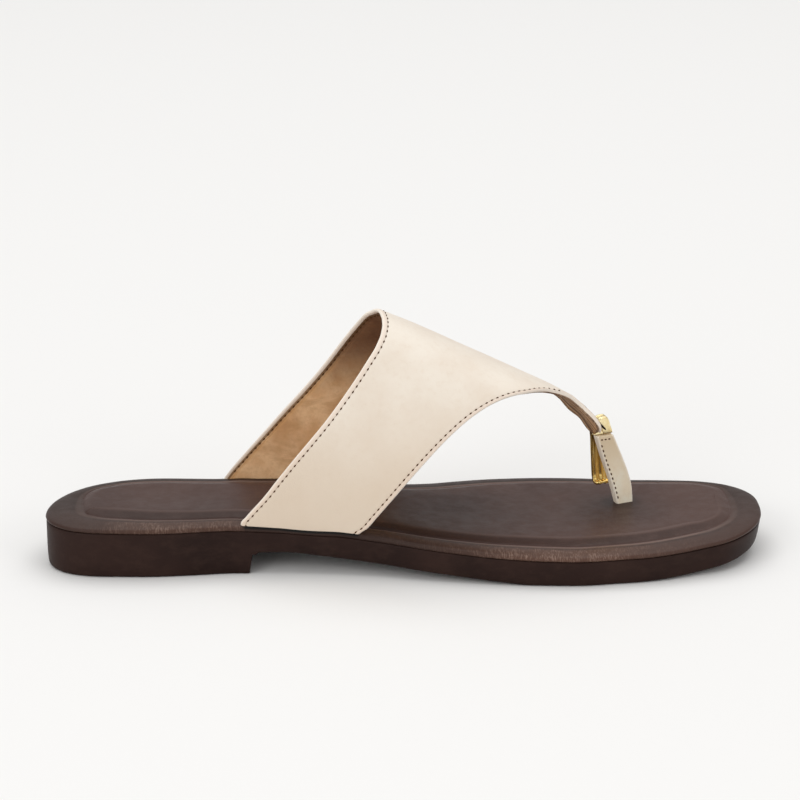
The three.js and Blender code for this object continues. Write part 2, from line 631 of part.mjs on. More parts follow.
// ---------------------------------------------------------------- fitting the pieces together
const strap = makeStrap();
const post = makePost();
const footbed = toManifold(makeFootbed())
  .subtract(toManifold(grown(strap, GAP)))
  .subtract(toManifold(grown(post, GAP)));
const link = toManifold(makeHead())
  .add(toManifold(makeStrip()))
  .add(toManifold(makeTongue(0)))
  .subtract(toManifold(grown(strap, TIP_GAP)));
const pocketedPost = toManifold(post)
  .subtract(toManifold(makeTongue(GAP)))
  .subtract(toManifold(grown(strap, TIP_GAP)));

const group = new THREE.Group();
group.name = 'toe_post_sandal';

function addPiece(name, geometry, colour, roughness, metalness) {
  const material = new THREE.MeshStandardMaterial({ color: colour, roughness, metalness });
  material.name = name;
  const mesh = new THREE.Mesh(geometry, material);
  mesh.name = name;
  geometry.translate(-MIDDLE_X, -MIDDLE_Y, 0);
  group.add(mesh);
}

addPiece('outsole', makeOutsole(), COLOURS.outsole, 0.55, 0);
addPiece('footbed', fromManifold(footbed), COLOURS.footbed, 0.5, 0);
addPiece('upper', strap, COLOURS.leather, 0.55, 0);
addPiece('toe_post', fromManifold(pocketedPost), COLOURS.leather, 0.55, 0);
addPiece('toe_link', fromManifold(link), COLOURS.gold, 0.25, 1);

export default group;
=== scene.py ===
import math
import bpy
import numpy as np
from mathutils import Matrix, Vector


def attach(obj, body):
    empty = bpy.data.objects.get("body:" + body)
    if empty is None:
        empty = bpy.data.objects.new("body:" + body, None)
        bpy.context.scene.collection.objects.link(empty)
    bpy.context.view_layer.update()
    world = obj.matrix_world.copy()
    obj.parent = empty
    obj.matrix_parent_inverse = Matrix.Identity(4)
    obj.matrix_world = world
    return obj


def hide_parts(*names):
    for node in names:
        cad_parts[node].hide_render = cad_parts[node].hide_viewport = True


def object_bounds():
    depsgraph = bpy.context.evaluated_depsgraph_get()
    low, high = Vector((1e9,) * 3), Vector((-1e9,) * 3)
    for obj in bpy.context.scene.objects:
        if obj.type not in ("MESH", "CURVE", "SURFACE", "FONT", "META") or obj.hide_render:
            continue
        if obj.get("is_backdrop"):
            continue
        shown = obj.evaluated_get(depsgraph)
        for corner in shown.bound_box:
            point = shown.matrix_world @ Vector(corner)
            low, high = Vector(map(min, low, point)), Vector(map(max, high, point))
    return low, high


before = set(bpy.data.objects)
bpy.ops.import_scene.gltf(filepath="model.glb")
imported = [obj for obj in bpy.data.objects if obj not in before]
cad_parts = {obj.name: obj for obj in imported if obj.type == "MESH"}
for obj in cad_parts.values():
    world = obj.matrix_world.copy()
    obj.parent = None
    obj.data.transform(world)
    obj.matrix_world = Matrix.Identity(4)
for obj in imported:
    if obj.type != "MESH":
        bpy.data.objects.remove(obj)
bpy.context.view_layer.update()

# -------------------------------- outsole
# One moulded piece of dark brown rubber with its low heel. The wall is drawn in a little towards
# the floor, with a small round at its foot, and the waist rises off the floor ahead of the heel.
# Sizes are in millimetres, and most tables start with x, counted forward from the back of the heel.
HEEL_X = -0.76
TOE_X = 259.2
MIDDLE_X = (HEEL_X + TOE_X) / 2
HEEL_TIP_Y = -8.9
TOE_TIP_Y = 4.8
MIDDLE_Y = -0.55
# x, half width before the heel and the toe are rounded off
LATERAL_PLAN = [
    (0, 29.2), (20, 28.3), (37, 29.1), (51, 28.3), (66, 26.9), (80, 27.0), (94, 28.3), (108, 29.9),
    (119, 32), (133, 36), (147, 39), (160, 41.5), (175, 43.4), (189, 44.2), (203, 42.9),
    (217, 42.2), (232, 41.2), (245, 42.7), (259, 42)]
MEDIAL_PLAN = [
    (0, 27.7), (39, 27.3), (61, 24.9), (70, 23.5), (80, 22.8), (100, 23.1), (120, 26), (136, 30.7),
    (151, 37), (159, 39.8), (167, 41.6), (174, 42.6), (183, 43.1), (190, 42.8), (197, 42),
    (216, 38.5), (231, 36.7), (245, 35.5), (259, 34.2)]
# how far each end is rounded off, and how square the rounding is
HEEL_ROUND = {"lateral": (24.3, 2.16), "medial": (40.9, 2.03)}
TOE_ROUND = {"lateral": (72, 2.68), "medial": (44.5, 2.24)}
# x, height of the seam under the footbed; the waist is a little higher on the side of the arch
SEAM_LATERAL = [
    (0, 16.5), (20, 16.3), (40, 16.2), (60, 16.3), (68, 16.2), (73, 15.9), (78, 15.6), (86, 15.2),
    (94, 14.7), (103, 14.4), (115, 13.3), (130, 12), (145, 10.7), (160, 9.7), (175, 9.1),
    (190, 8.9), (210, 9), (225, 9.5), (240, 10.6), (250, 11.5), (259, 12.3)]
SEAM_MEDIAL = [
    (0, 16.5), (20, 16.3), (40, 16.2), (60, 16.5), (70, 17.4), (80, 17.4), (90, 17), (105, 15.7),
    (120, 13.5), (130, 12.2), (145, 10.7), (160, 9.7), (175, 9.1), (190, 8.9), (210, 9), (225, 9.5),
    (240, 10.6), (250, 11.5), (259, 12.3)]
# the one seam passes into the other between these two y
SEAM_LATERAL_Y, SEAM_MEDIAL_Y = -24, 22
# x, height of the tread over the floor ahead of the heel
UNDERSIDE = [
    (73, 7.8), (85, 7.9), (100, 6.6), (115, 5), (130, 3.6), (145, 2.2), (160, 0.9), (172, 0),
    (208, 0), (225, 0.7), (240, 2.1), (250, 3.3), (259, 4.6)]
BREAST_BOTTOM_X, BREAST_TOP_X, BREAST_ROUND_X, BREAST_ROUND_DROP = 72.4, 73.3, 75.5, 0.9
# share of the way down the wall, and how far it is drawn in
OUTSOLE_WALL = [
    (0, 0.6), (0.02, 0.32), (0.06, 0.2), (0.5, 0.22), (0.82, 0.36), (0.92, 0.52), (0.97, 0.75),
    (1, 1.15)]
# x, and how much further the wall of the toe is drawn in at its foot
TOE_DRAWN_IN = [(0, 0), (205, 0), (225, 0.2), (245, 0.6), (259, 1.1)]
WALL_RINGS = [
    1, 0.985, 0.965, 0.94, 0.9, 0.84, 0.76, 0.64, 0.5, 0.36, 0.22, 0.12, 0.06, 0.03, 0.012, 0]
TOP_STRIPS, TREAD_STRIPS = 4, 6
# sections across the shoe, closer at both ends, and the room kept round those on the breast's edges
STATIONS = 420
STATION_ROOM = 0.7
# the way in from the edge is read at so many spots, over so many to each side, and evened out
OUTLINE_SPOTS, SPOTS_ASIDE, EVENED_OVER = 2048, 3, 3.5


def curve(rows, column=1):
    """A smooth line through a table, without overshoot; the first column is each row's place."""
    x = np.array([row[0] for row in rows], float)
    y = np.array([row[column] for row in rows], float)
    step = np.diff(x)
    rise = np.diff(y) / step
    slope = np.empty(len(x))
    slope[0], slope[-1] = rise[0], rise[-1]
    for i in range(1, len(x) - 1):
        if rise[i - 1] * rise[i] <= 0:
            slope[i] = 0
            continue
        a, b = 2 * step[i] + step[i - 1], step[i] + 2 * step[i - 1]
        slope[i] = (a + b) / (a / rise[i - 1] + b / rise[i])

    def at(place):
        place = np.asarray(place, float)
        i = np.clip(np.searchsorted(x, place, side="right") - 1, 0, len(x) - 2)
        t = (place - x[i]) / step[i]
        return ((1 + 2 * t) * (1 - t) ** 2 * y[i] + t * (1 - t) ** 2 * step[i] * slope[i]
                + t * t * (3 - 2 * t) * y[i + 1] + t * t * (t - 1) * step[i] * slope[i + 1])
    return at


lateral_plan, medial_plan = curve(LATERAL_PLAN), curve(MEDIAL_PLAN)
seam_lateral, seam_medial, underside_z = curve(SEAM_LATERAL), curve(SEAM_MEDIAL), curve(UNDERSIDE)


def ramp(value, start, over):
    """0 up to start, then evenly up to 1."""
    return np.clip((value - start) / over, 0, 1)


def rounding(distance, reach, power):
    return (1 - (1 - ramp(distance, 0, reach)) ** power) ** (1 / power)


def seam_z(x, y):
    medial = ramp(y, SEAM_LATERAL_Y, SEAM_MEDIAL_Y - SEAM_LATERAL_Y)
    return seam_lateral(x) * (1 - medial) + seam_medial(x) * medial


def edge_y(x, side):
    full = -lateral_plan(x) if side == "lateral" else medial_plan(x)
    heel = HEEL_TIP_Y + (full - HEEL_TIP_Y) * rounding(x - HEEL_X, *HEEL_ROUND[side])
    return TOE_TIP_Y + (heel - TOE_TIP_Y) * rounding(TOE_X - x, *TOE_ROUND[side])


def wall_bottom(x):
    """The foot of the wall: on the floor round the heel, then up the breast and its small round."""
    ahead = underside_z(np.maximum(x, BREAST_TOP_X))
    z = np.where(x < BREAST_ROUND_X, ahead - BREAST_ROUND_DROP, ahead)
    return np.where(x <= BREAST_BOTTOM_X, 0, z)


breast = np.array([BREAST_BOTTOM_X, BREAST_TOP_X, BREAST_ROUND_X])
even = HEEL_X + (TOE_X - HEEL_X) / 2 * (1 - np.cos(np.pi * np.arange(STATIONS + 1) / STATIONS))
even = even[np.min(np.abs(even[:, None] - breast), axis=1) > STATION_ROOM]
station_x = np.sort(np.concatenate([even, breast]))
# round the outline: forward along the lateral edge and back along the medial one
outline_x = np.concatenate([station_x, station_x[1:-1][::-1]])
outline_y = np.concatenate([edge_y(station_x, "lateral"), edge_y(station_x[1:-1], "medial")[::-1]])
AROUND = len(outline_x)


def inward_directions():
    """Directions square to the outline, evened out over a few millimetres of it."""
    outline = outline_x + 1j * outline_y
    outline = np.append(outline, outline[0])
    along = np.concatenate([[0], np.cumsum(np.abs(np.diff(outline)))])
    place = along[-1] * np.arange(OUTLINE_SPOTS) / OUTLINE_SPOTS
    spots = np.interp(place, along, outline)
    way = np.roll(spots, -SPOTS_ASIDE) - np.roll(spots, SPOTS_ASIDE)
    inward = 1j * way / np.abs(way)
    waves = np.fft.fftfreq(OUTLINE_SPOTS, along[-1] / OUTLINE_SPOTS)
    inward = np.fft.ifft(np.fft.fft(inward) * np.exp(-2 * (np.pi * waves * EVENED_OVER) ** 2))
    inward /= np.abs(inward)
    inward = np.interp(along[:-1], np.append(place, along[-1]), np.append(inward, inward[0]))
    return inward.real / np.abs(inward), inward.imag / np.abs(inward)


inward_x, inward_y = inward_directions()


def ring(inset):
    return outline_x + inward_x * inset, outline_y + inward_y * inset


def ring_walls(ring_count, count):
    """Faces that join rings of equal count, each to the next."""
    faces = []
    for r in range(ring_count - 1):
        for i in range(count):
            j = (i + 1) % count
            faces.append((r * count + i, r * count + j, (r + 1) * count + j, (r + 1) * count + i))
    return faces


def fill_inside(points, faces, first, across, height, faces_up):
    """Strips across the shoe inside a ring that starts at point number first."""
    last = len(station_x) - 1
    rows = [[first]]
    base = len(points)
    extra = []
    for i in range(1, last):
        a, b = points[first + i], points[first + AROUND - i]
        share = np.arange(1, across) / across
        x, y = a[0] + (b[0] - a[0]) * share, a[1] + (b[1] - a[1]) * share
        z = height(x, y, share, a[2] + (b[2] - a[2]) * share)
        rows.append([first + i, *range(base, base + across - 1), first + AROUND - i])
        base += across - 1
        extra.append(np.stack([x, y, z], axis=1))
    rows.append([first + last])
    for near, far in zip(rows, rows[1:]):
        if len(near) == 1:
            strip = [(near[0], far[k], far[k + 1]) for k in range(across)]
        elif len(far) == 1:
            strip = [(near[k], far[0], near[k + 1]) for k in range(across)]
        else:
            strip = [(near[k], far[k], far[k + 1], near[k + 1]) for k in range(across)]
        faces += strip if faces_up else [face[::-1] for face in strip]
    return np.concatenate([points, *extra])


def level(x, y, share, z):
    """Straight across from edge to edge."""
    return z


def slab(rings, under_strips, top_strips, top=level):
    """Rings round the shoe, the first filled to face the floor and the last to face up."""
    faces = ring_walls(len(rings), AROUND)
    points = fill_inside(np.concatenate(rings), faces, 0, under_strips, level, False)
    return fill_inside(points, faces, (len(rings) - 1) * AROUND, top_strips, top, True), faces


class Value:
    """A number that varies over a surface: arithmetic with it adds Math nodes."""

    def __init__(self, finish, socket):
        self.finish, self.socket = finish, socket

    def math(self, operation, first, second):
        return self.finish.node("ShaderNodeMath", {"operation": operation}, {0: first, 1: second})

    def __add__(self, other):
        return self.math("ADD", self, other)

    def __sub__(self, other):
        return self.math("SUBTRACT", self, other)

    def __rsub__(self, other):
        return self.math("SUBTRACT", other, self)

    def __mul__(self, other):
        return self.math("MULTIPLY", self, other)

    __radd__ = __add__
    __rmul__ = __mul__

    def to(self, low, high, low_value=0.0, high_value=1.0):
        """Low becomes low_value and high becomes high_value, smoothly, and nothing goes past."""
        return self.finish.node("ShaderNodeMapRange", {"interpolation_type": "SMOOTHSTEP"},
                                {0: self, 1: low, 2: high, 3: low_value, 4: high_value})


class Finish:
    """A material, with the nodes that vary it."""

    def __init__(self, name, **constants):
        self.material = bpy.data.materials.new(name)
        self.material.use_nodes = True
        self.tree = self.material.node_tree
        self.surface = self.tree.nodes["Principled BSDF"]
        self.set(**constants)

    def set(self, **values):
        for name, value in values.items():
            self.feed(self.surface.inputs[name.replace("_", " ")], value)

    def feed(self, socket, value):
        if isinstance(value, Value):
            self.tree.links.new(value.socket, socket)
        elif hasattr(value, "__len__") and len(value) == 3 and socket.type == "RGBA":
            socket.default_value = (*value, 1)
        else:
            socket.default_value = value

    def node(self, kind, settings, inputs, output=0):
        node = self.tree.nodes.new(kind)
        for name, value in settings.items():
            setattr(node, name, value)
        for name, value in inputs.items():
            self.feed(node.inputs[name], value)
        return Value(self, node.outputs[output])

    def place(self, stretch=(1, 1, 1)):
        """Where a spot is from the middle of the shoe, in millimetres, times stretch."""
        spot = self.node("ShaderNodeTexCoord", {}, {}, "Object")
        scaled = [1000 * s for s in stretch]
        return self.node("ShaderNodeVectorMath", {"operation": "MULTIPLY"}, {0: spot, 1: scaled})

    def ahead(self):
        """How far a spot is ahead of the middle of the shoe, in millimetres."""
        return self.node("ShaderNodeSeparateXYZ", {}, {0: self.place()}, 0)

    def height(self):
        """How high a spot is over the floor, in millimetres."""
        return self.node("ShaderNodeSeparateXYZ", {}, {0: self.place()}, 2)

    def away_from(self, *spot):
        """How far it is to a spot that is given in millimetres from the middle of the shoe."""
        return self.node("ShaderNodeVectorMath", {"operation": "DISTANCE"},
                         {0: self.place(), 1: spot}, "Value")

    def noise(self, size, detail=2.0, roughness=0.5, stretch=(1, 1, 1), distortion=0.0, at=None):
        """Soft blotches about size millimetres across, from 0 to 1."""
        return self.node("ShaderNodeTexNoise", {}, {
            "Vector": at or self.place(stretch), "Scale": 1 / size, "Detail": detail,
            "Roughness": roughness, "Distortion": distortion}, "Fac")

    def cells(self, size):
        """Pebbles about size millimetres across: 0 in the middle of each."""
        return self.node("ShaderNodeTexVoronoi", {}, {"Vector": self.place(), "Scale": 1 / size},
                         "Distance")

    def mark(self, name):
        """A number that the mesh carries at each point."""
        return self.node("ShaderNodeAttribute", {"attribute_name": name}, {}, "Fac")

    def mix(self, share, first, second):
        return self.node("ShaderNodeMix", {"data_type": "RGBA"}, {0: share, 6: first, 7: second}, 2)

    def bump(self, height, deep, strength):
        """height from 0 to 1 stands for deep millimetres."""
        return self.node("ShaderNodeBump", {}, {
            "Height": height, "Distance": deep / 1000, "Strength": strength})


def srgb(red, green, blue):
    """A colour as a painter reads it, from 0 to 255, turned into light."""
    return tuple(((c / 255 + 0.055) / 1.055) ** 2.4 if c > 10 else c / 255 / 12.92
                 for c in (red, green, blue))


def put_together(name, points, faces, finish, slot, replaces=(), marks=None):
    """Makes a piece from points in millimetres, counted from the back of the heel."""
    moved = (np.asarray(points, float) - [MIDDLE_X, MIDDLE_Y, 0]) / 1000
    mesh = bpy.data.meshes.new(name)
    mesh.from_pydata(moved.tolist(), [], [tuple(int(i) for i in face) for face in faces])
    for mark, numbers in (marks or {}).items():
        carried = mesh.attributes.new(mark, "FLOAT", "POINT")
        carried.data.foreach_set("value", np.asarray(numbers, np.float32))
    mesh.shade_smooth()
    mesh.materials.append(finish.material)
    piece = bpy.data.objects.new(name, mesh)
    bpy.context.collection.objects.link(piece)
    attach(piece, "root")
    if replaces:
        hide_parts(*replaces)


draw_in, toe_draw_in = curve(OUTSOLE_WALL), curve(TOE_DRAWN_IN)(outline_x)
top, bottom = seam_z(outline_x, outline_y), wall_bottom(outline_x)
rings = []
for down in WALL_RINGS:
    x, y = ring(float(draw_in(down)) + toe_draw_in * down)
    rings.append(np.stack([x, y, top + (bottom - top) * down], axis=1))
points, faces = slab(rings, TREAD_STRIPS, TOP_STRIPS)

RUBBER, WORN_RUBBER, STREAK = srgb(33, 18, 14), srgb(46, 29, 24), srgb(60, 42, 35)
rubber = Finish("outsole_rubber", Roughness=0.5, Specular_IOR_Level=0.13)
streaks = rubber.noise(3.0, detail=4, roughness=0.65, stretch=(0.45, 0.45, 0.8))
clouds = rubber.noise(26)
grain = rubber.noise(0.7, detail=4, roughness=0.7)
colour = rubber.mix(clouds.to(0.3, 0.7), RUBBER, WORN_RUBBER)
rubber.set(Base_Color=rubber.mix(streaks.to(0.4, 0.75) * 0.35, colour, STREAK),
           Roughness=clouds.to(0.2, 0.8, 0.44, 0.56),
           Normal=rubber.bump(grain * 0.6 + streaks * 0.4, deep=0.12, strength=0.6))
put_together("outsole_moulded", points, faces, rubber, "outsole", replaces=["outsole"])

# -------------------------------- footbed
# A cushioned insole under smooth dark brown leather, cemented on the outsole. Its margin is rolled
# over a cord and pressed down in a crease, and inside that the padded middle rises a little.

# x, width of the margin from the edge to the crease
MARGIN_LATERAL = [
    (-0.8, 15.6), (2, 15.2), (6, 14.2), (13, 13), (20, 11.4), (30, 10.1), (40, 9.2), (60, 7.6),
    (80, 7), (110, 7.4), (140, 8.2), (157, 9.2), (170, 10.2), (190, 10.1), (207, 10.4), (218, 11),
    (230, 11.4), (241, 12), (250, 12.8), (259, 11.6)]
MARGIN_MEDIAL = [
    (-0.8, 11.6), (2, 9), (6, 6.4), (12, 4.6), (20, 5.6), (37, 6.4), (60, 6.4), (100, 6.8),
    (140, 7.8), (160, 7.9), (190, 7.4), (207, 6.6), (222, 5.6), (234, 4.6), (242, 3.6), (250, 4),
    (259, 10)]
# x, width of the slope from the crease up to the padded middle
SLOPE_LATERAL = [
    (-0.8, 2.4), (2, 3.4), (8, 5), (16, 7), (26, 8.2), (36, 7.8), (48, 7), (66, 6.4), (120, 6.6),
    (160, 7.2), (175, 7.6), (190, 7.9), (205, 7.9), (222, 8.1), (236, 8.5), (246, 7), (259, 5)]
SLOPE_MEDIAL = [(-0.8, 3), (6, 4.4), (60, 4.6), (120, 4.4), (190, 4.2), (235, 4.4), (259, 5)]
# x, how deep the crease is pressed
CREASE_DEPTH = [
    (0, 0.06), (12, 0.14), (26, 0.26), (90, 0.3), (180, 0.3), (215, 0.28), (236, 0.2), (247, 0.08),
    (259, 0.04)]
# share of the way in to the crease, and rise above the seam
MARGIN_PROFILE = [
    (0.06, 0.05), (0.012, 0.5), (0.0, 0.9), (0.008, 1.2), (0.03, 1.5), (0.08, 1.84), (0.17, 2.1),
    (0.28, 2.28), (0.4, 2.4), (0.52, 2.48), (0.63, 2.52), (0.72, 2.52), (0.8, 2.49), (0.87, 2.44),
    (0.93, 2.38), (0.97, 2.34)]
# share of the way up the inner slope, rise, and share of the crease's depth taken off
SLOPE_PROFILE = [
    (0.0, 2.33, 0.9), (0.02, 2.34, 1.0), (0.045, 2.38, 0.85), (0.08, 2.46, 0.45),
    (0.12, 2.56, 0.15), (0.18, 2.69, 0), (0.3, 2.9, 0), (0.45, 3.13, 0), (0.6, 3.32, 0),
    (0.75, 3.47, 0), (0.87, 3.55, 0), (0.95, 3.58, 0), (1.0, 3.59, 0)]
# the middle is dished to this rise, with this fullness, over this length from heel and toe
MIDDLE_RISE, DISH_POWER, DISH_REACH = 3.2, 1.3, 30
UNDER_STRIPS, MIDDLE_STRIPS = 4, 16
# where the strap's feet go down into the footbed's edge, from and to
SLOT_LATERAL, SLOT_MEDIAL = (70, 111.5), (62.5, 113.5)
# a slot's painted shadow: its soft end, the rise at which it starts and over which it opens, its
# reach in and its fade
SLOT_END, SLOT_LOW, SLOT_OPENS, SLOT_REACH, SLOT_FADE = 0.8, 1.05, 0.3, 3.4, 0.5
# x, how far the edge is cut down at the near slot; from which rise on, over which rise, and how
# far in as a share of the margin
SLOT_CUT = [(0, 0), (72, 0), (82, 0.1), (91, 0.5), (99, 0.2), (106, 0), (259, 0)]
CUT_LOW, CUT_OPENS, CUT_SHARE = 0.9, 0.5, 0.15
# the share of the margin that is painted dark along the strap's foot, as its shadow
FOOT_SHARE = 0.3
# x, and then: how strongly the near edge of the margin is painted with sheen, how clearly the
# crease's painted shade and highlights show, and how much painted shade the footbed gets under
# the strap and at the heel
CRACKLE_SHEEN_ALONG = [
    (0, 0), (20, 0.2), (30, 1), (60, 1), (68, 0.5), (110, 0.1), (150, 0.5), (165, 1), (200, 1),
    (212, 0.4), (235, 0.1), (259, 0)]
CREASE_SHADING_SHOWN = [(0, 0.15), (12, 0.25), (26, 0.9), (232, 1), (242, 0.5), (250, 0.15), (259, 0)]
UNDER_STRAP = [
    (0, 0.5), (60, 0.45), (75, 0.2), (100, 0), (112, 0.95), (132, 0.9), (148, 0.5), (165, 0.1),
    (175, 0)]
# half as dark on the middle line, and not at all this much further across
SHADE_ACROSS = 20

# 1 on the lateral side, 0 on the medial side
lateral_share = 0.5 + 0.5 * inward_y


def by_side(lateral, medial):
    """A table's value round the outline; the sides pass into each other at heel and toe."""
    lateral, medial = curve(lateral)(outline_x), curve(medial)(outline_x)
    return medial * (1 - lateral_share) + lateral * lateral_share


def between(x, start, end):
    return ramp(x, start, SLOT_END) * ramp(end - x, 0, SLOT_END)


margin_width = by_side(MARGIN_LATERAL, MARGIN_MEDIAL)
slope_width = by_side(SLOPE_LATERAL, SLOPE_MEDIAL)
crease_depth = curve(CREASE_DEPTH)(outline_x)
slot_span = np.where(
    outline_y < 0, between(outline_x, *SLOT_LATERAL), between(outline_x, *SLOT_MEDIAL))
slot_cut = curve(SLOT_CUT)(outline_x) * (outline_y < 0)
rings, way_in, slot_shadow, foot_shadow = [], [], [], []
for across, rise in MARGIN_PROFILE:
    x, y = ring(margin_width * across)
    cut = slot_cut * (ramp(rise, CUT_LOW, CUT_OPENS) * (across < CUT_SHARE))
    rings.append(np.stack([x, y, seam_z(x, y) + rise - cut], axis=1))
    way_in.append(np.full(AROUND, across))
    slot_shadow.append(slot_span * ramp(rise, SLOT_LOW, SLOT_OPENS)
                   * ramp(SLOT_REACH - margin_width * across, 0, SLOT_FADE))
    foot_shadow.append(slot_span * (across < FOOT_SHARE))
for across, rise, pressed in SLOPE_PROFILE:
    x, y = ring(margin_width + slope_width * across)
    rings.append(np.stack([x, y, seam_z(x, y) + rise - crease_depth * pressed], axis=1))
    way_in.append(np.full(AROUND, 1 + across))
slope_top = SLOPE_PROFILE[-1][1]
x_start, x_end = rings[-1][0, 0], rings[-1][len(station_x) - 1, 0]


def padded_middle(x, y, share, z):
    ends = ramp(x, x_start, DISH_REACH) * ramp(x_end - x, 0, DISH_REACH)
    dish = (MIDDLE_RISE - slope_top) * np.sin(np.pi * share) ** DISH_POWER
    return seam_z(x, y) + slope_top + dish * np.sin(np.pi / 2 * ends) ** 2


def rest(numbers, value):
    """The numbers of the rings' points, and one value for all the others."""
    return np.concatenate([*numbers, np.full(len(points) - len(numbers) * AROUND, value)])


points, faces = slab(rings, UNDER_STRIPS, MIDDLE_STRIPS, padded_middle)
near_side = rest([lateral_share] * len(rings), 0.0)
along = points[:, 0]
marks = {
    "way_in": rest(way_in, 2.0), "slot_shadow": rest(slot_shadow, 0.0), "near_side": near_side,
    "crackle_sheen": near_side ** 2 * np.interp(along, *zip(*CRACKLE_SHEEN_ALONG)),
    "pressed": np.interp(along, *zip(*CREASE_SHADING_SHOWN)),
    "shaded": (np.interp(along, *zip(*UNDER_STRAP))
               * np.clip(0.5 - points[:, 1] / (2 * SHADE_ACROSS), 0, 1)),
    "foot_shadow": rest(foot_shadow, 0.0)}

BROWN, LIGHT_BROWN = srgb(69, 47, 41), srgb(79, 56, 49)
MARGIN_FAR_SHADED, MARGIN_NEAR_LIT, MARGIN_SHEEN = srgb(54, 37, 31), srgb(68, 48, 41), srgb(88, 63, 52)
CRACK_HIGHLIGHT, IN_SHADE = srgb(160, 134, 120), srgb(28, 18, 14)
FOOT_SHADOW_COLOUR, SLOT_SHADOW_COLOUR = srgb(38, 25, 21), srgb(10, 7, 6)
# painted shadow of the post and of the link's bar on the footbed: where, full up to and gone
# from, how strongly, colour
POST_SHADOWS = [
    ((77, 3, 12), 2, 26, 0.5, srgb(40, 24, 17)), ((80, 11, 12), 4, 10, 0.45, srgb(28, 17, 13))]
hide = Finish("footbed_leather", Specular_IOR_Level=0.18)
wide = hide.noise(34)
small = hide.noise(5, detail=3, roughness=0.6)
pores = hide.cells(0.55)
wrinkles = hide.noise(1.1, detail=4, roughness=0.65, distortion=0.4)
cracks = hide.noise(0.4, detail=3, roughness=0.7, stretch=(1, 0.15, 0.25))
inside = hide.mark("way_in")
near = hide.mark("near_side")
crackle_sheen = hide.mark("crackle_sheen")
# where the crease's painted shade and highlights show, from the mark pressed
crease = hide.mark("pressed")


def band(start, full, until, end):
    """A strip on the way in, which is 0 at the edge, 1 at the crease and 2 on the padded middle."""
    return inside.to(start, full) * (1 - inside.to(until, end))


colour = hide.mix(wide.to(0.3, 0.7), BROWN, LIGHT_BROWN)
for spot, full, gone, strength, dark in POST_SHADOWS:
    post_shadow = hide.away_from(*spot).to(full, gone, strength, 0.0)
    colour = hide.mix(post_shadow, colour, dark)
# painted light: the margin is shaded darker on the far side and lit lighter on the near side
margin = hide.mix(near.to(0.3, 0.8), MARGIN_FAR_SHADED, MARGIN_NEAR_LIT)
# the near edge's crackled leather, painted lighter as sheen where the light falls on it
margin = hide.mix(crackle_sheen * small.to(0.1, 0.6, 0.6, 1.0), margin, MARGIN_SHEEN)
colour = hide.mix(1 - inside.to(0.9, 1.05), colour, margin)
slope_shading_mask = crease * near.to(0.3, 0.8) * small.to(0.15, 0.6, 0.5, 1.0)
margin_shading_mask = crease * small.to(0.1, 0.55, 0.45, 1.0)
# painted shade and highlights along the crease: band, where it shows, how strongly, colour
for reach, shows, strength, line in [
        ((0.95, 1.15, 1.5, 1.85), slope_shading_mask, 0.55, srgb(42, 26, 20)),
        ((1.62, 1.84, 1.9, 2.0), slope_shading_mask, 0.35, srgb(112, 94, 88)),
        ((0.74, 0.84, 0.9, 1.02), margin_shading_mask, 0.7, srgb(124, 102, 93)),
        ((0.58, 0.66, 0.7, 0.8), margin_shading_mask, 0.5, srgb(40, 26, 21))]:
    colour = hide.mix(band(*reach) * shows * strength, colour, line)
# its crackle painted as light highlight lines
crack_highlight = crackle_sheen * band(-0.2, 0, 0.55, 0.8) * cracks.to(0.48, 0.62) * small.to(0.25, 0.6) * 0.45
colour = hide.mix(crack_highlight, colour, CRACK_HIGHLIGHT)
colour = hide.mix(hide.mark("shaded") * 0.6, colour, IN_SHADE)
# painted shadow of the strap's foot along the margin
colour = hide.mix(hide.mark("foot_shadow") * 0.75, colour, FOOT_SHADOW_COLOUR)
# painted shadow, nearly black, inside the slots where the strap goes down
hide.set(Base_Color=hide.mix(hide.mark("slot_shadow"), colour, SLOT_SHADOW_COLOUR),
         Roughness=small.to(0.25, 0.75, 0.36, 0.48),
         Normal=hide.bump(pores * 0.35 + wrinkles * 0.65, deep=0.1, strength=0.55))
put_together("footbed_cover", points, faces, hide, "footbed", replaces=["footbed"], marks=marks)

# -------------------------------- strap
# The upper: smooth cream leather, its edges turned over and stitched down on a tan lining. It spans
# the instep from one side of the footbed to the other and narrows forward to a tip at the toe post.

# x, ridge z, ridge y, half width to the lateral side and to the medial side, base z, and roll
# towards the medial side in degrees
LAST = [
    (60, 129, 0, 26.9, 24.5, 17.9, 0),
    (70, 122, 0, 26.1, 23, 18, 0),
    (80, 117, 0, 26.3, 22.3, 17.8, 0),
    (100, 103, 0, 28.2, 22.6, 16.5, 0),
    (120, 89.6, 0, 31.2, 25.5, 14.6, 0),
    (130, 85.2, 0, 33, 28, 14, 0),
    (140, 80.5, 0, 34, 29.9, 13.4, 0),
    (150, 75.6, 0, 34, 31.6, 12.9, 0),
    (160, 70.9, -0.3, 33.5, 33, 12.6, 0),
    (170, 66.2, -0.6, 32.5, 33.6, 13, 1),
    (176, 63.4, 0.4, 32, 33, 13, 4),
    (182, 60.5, 2.2, 31, 31.4, 12, 10),
    (187, 57.1, 4.1, 30, 30, 11, 20),
    (191, 53, 5.6, 30, 30, 9, 33),
    (195, 49.3, 6.45, 30, 30, 7, 33),
    (199, 43.7, 6.55, 30, 30, 5, 52),
    (204, 34.1, 8.45, 30, 30, 3, 69)]
ARCH_POWER = 2.2
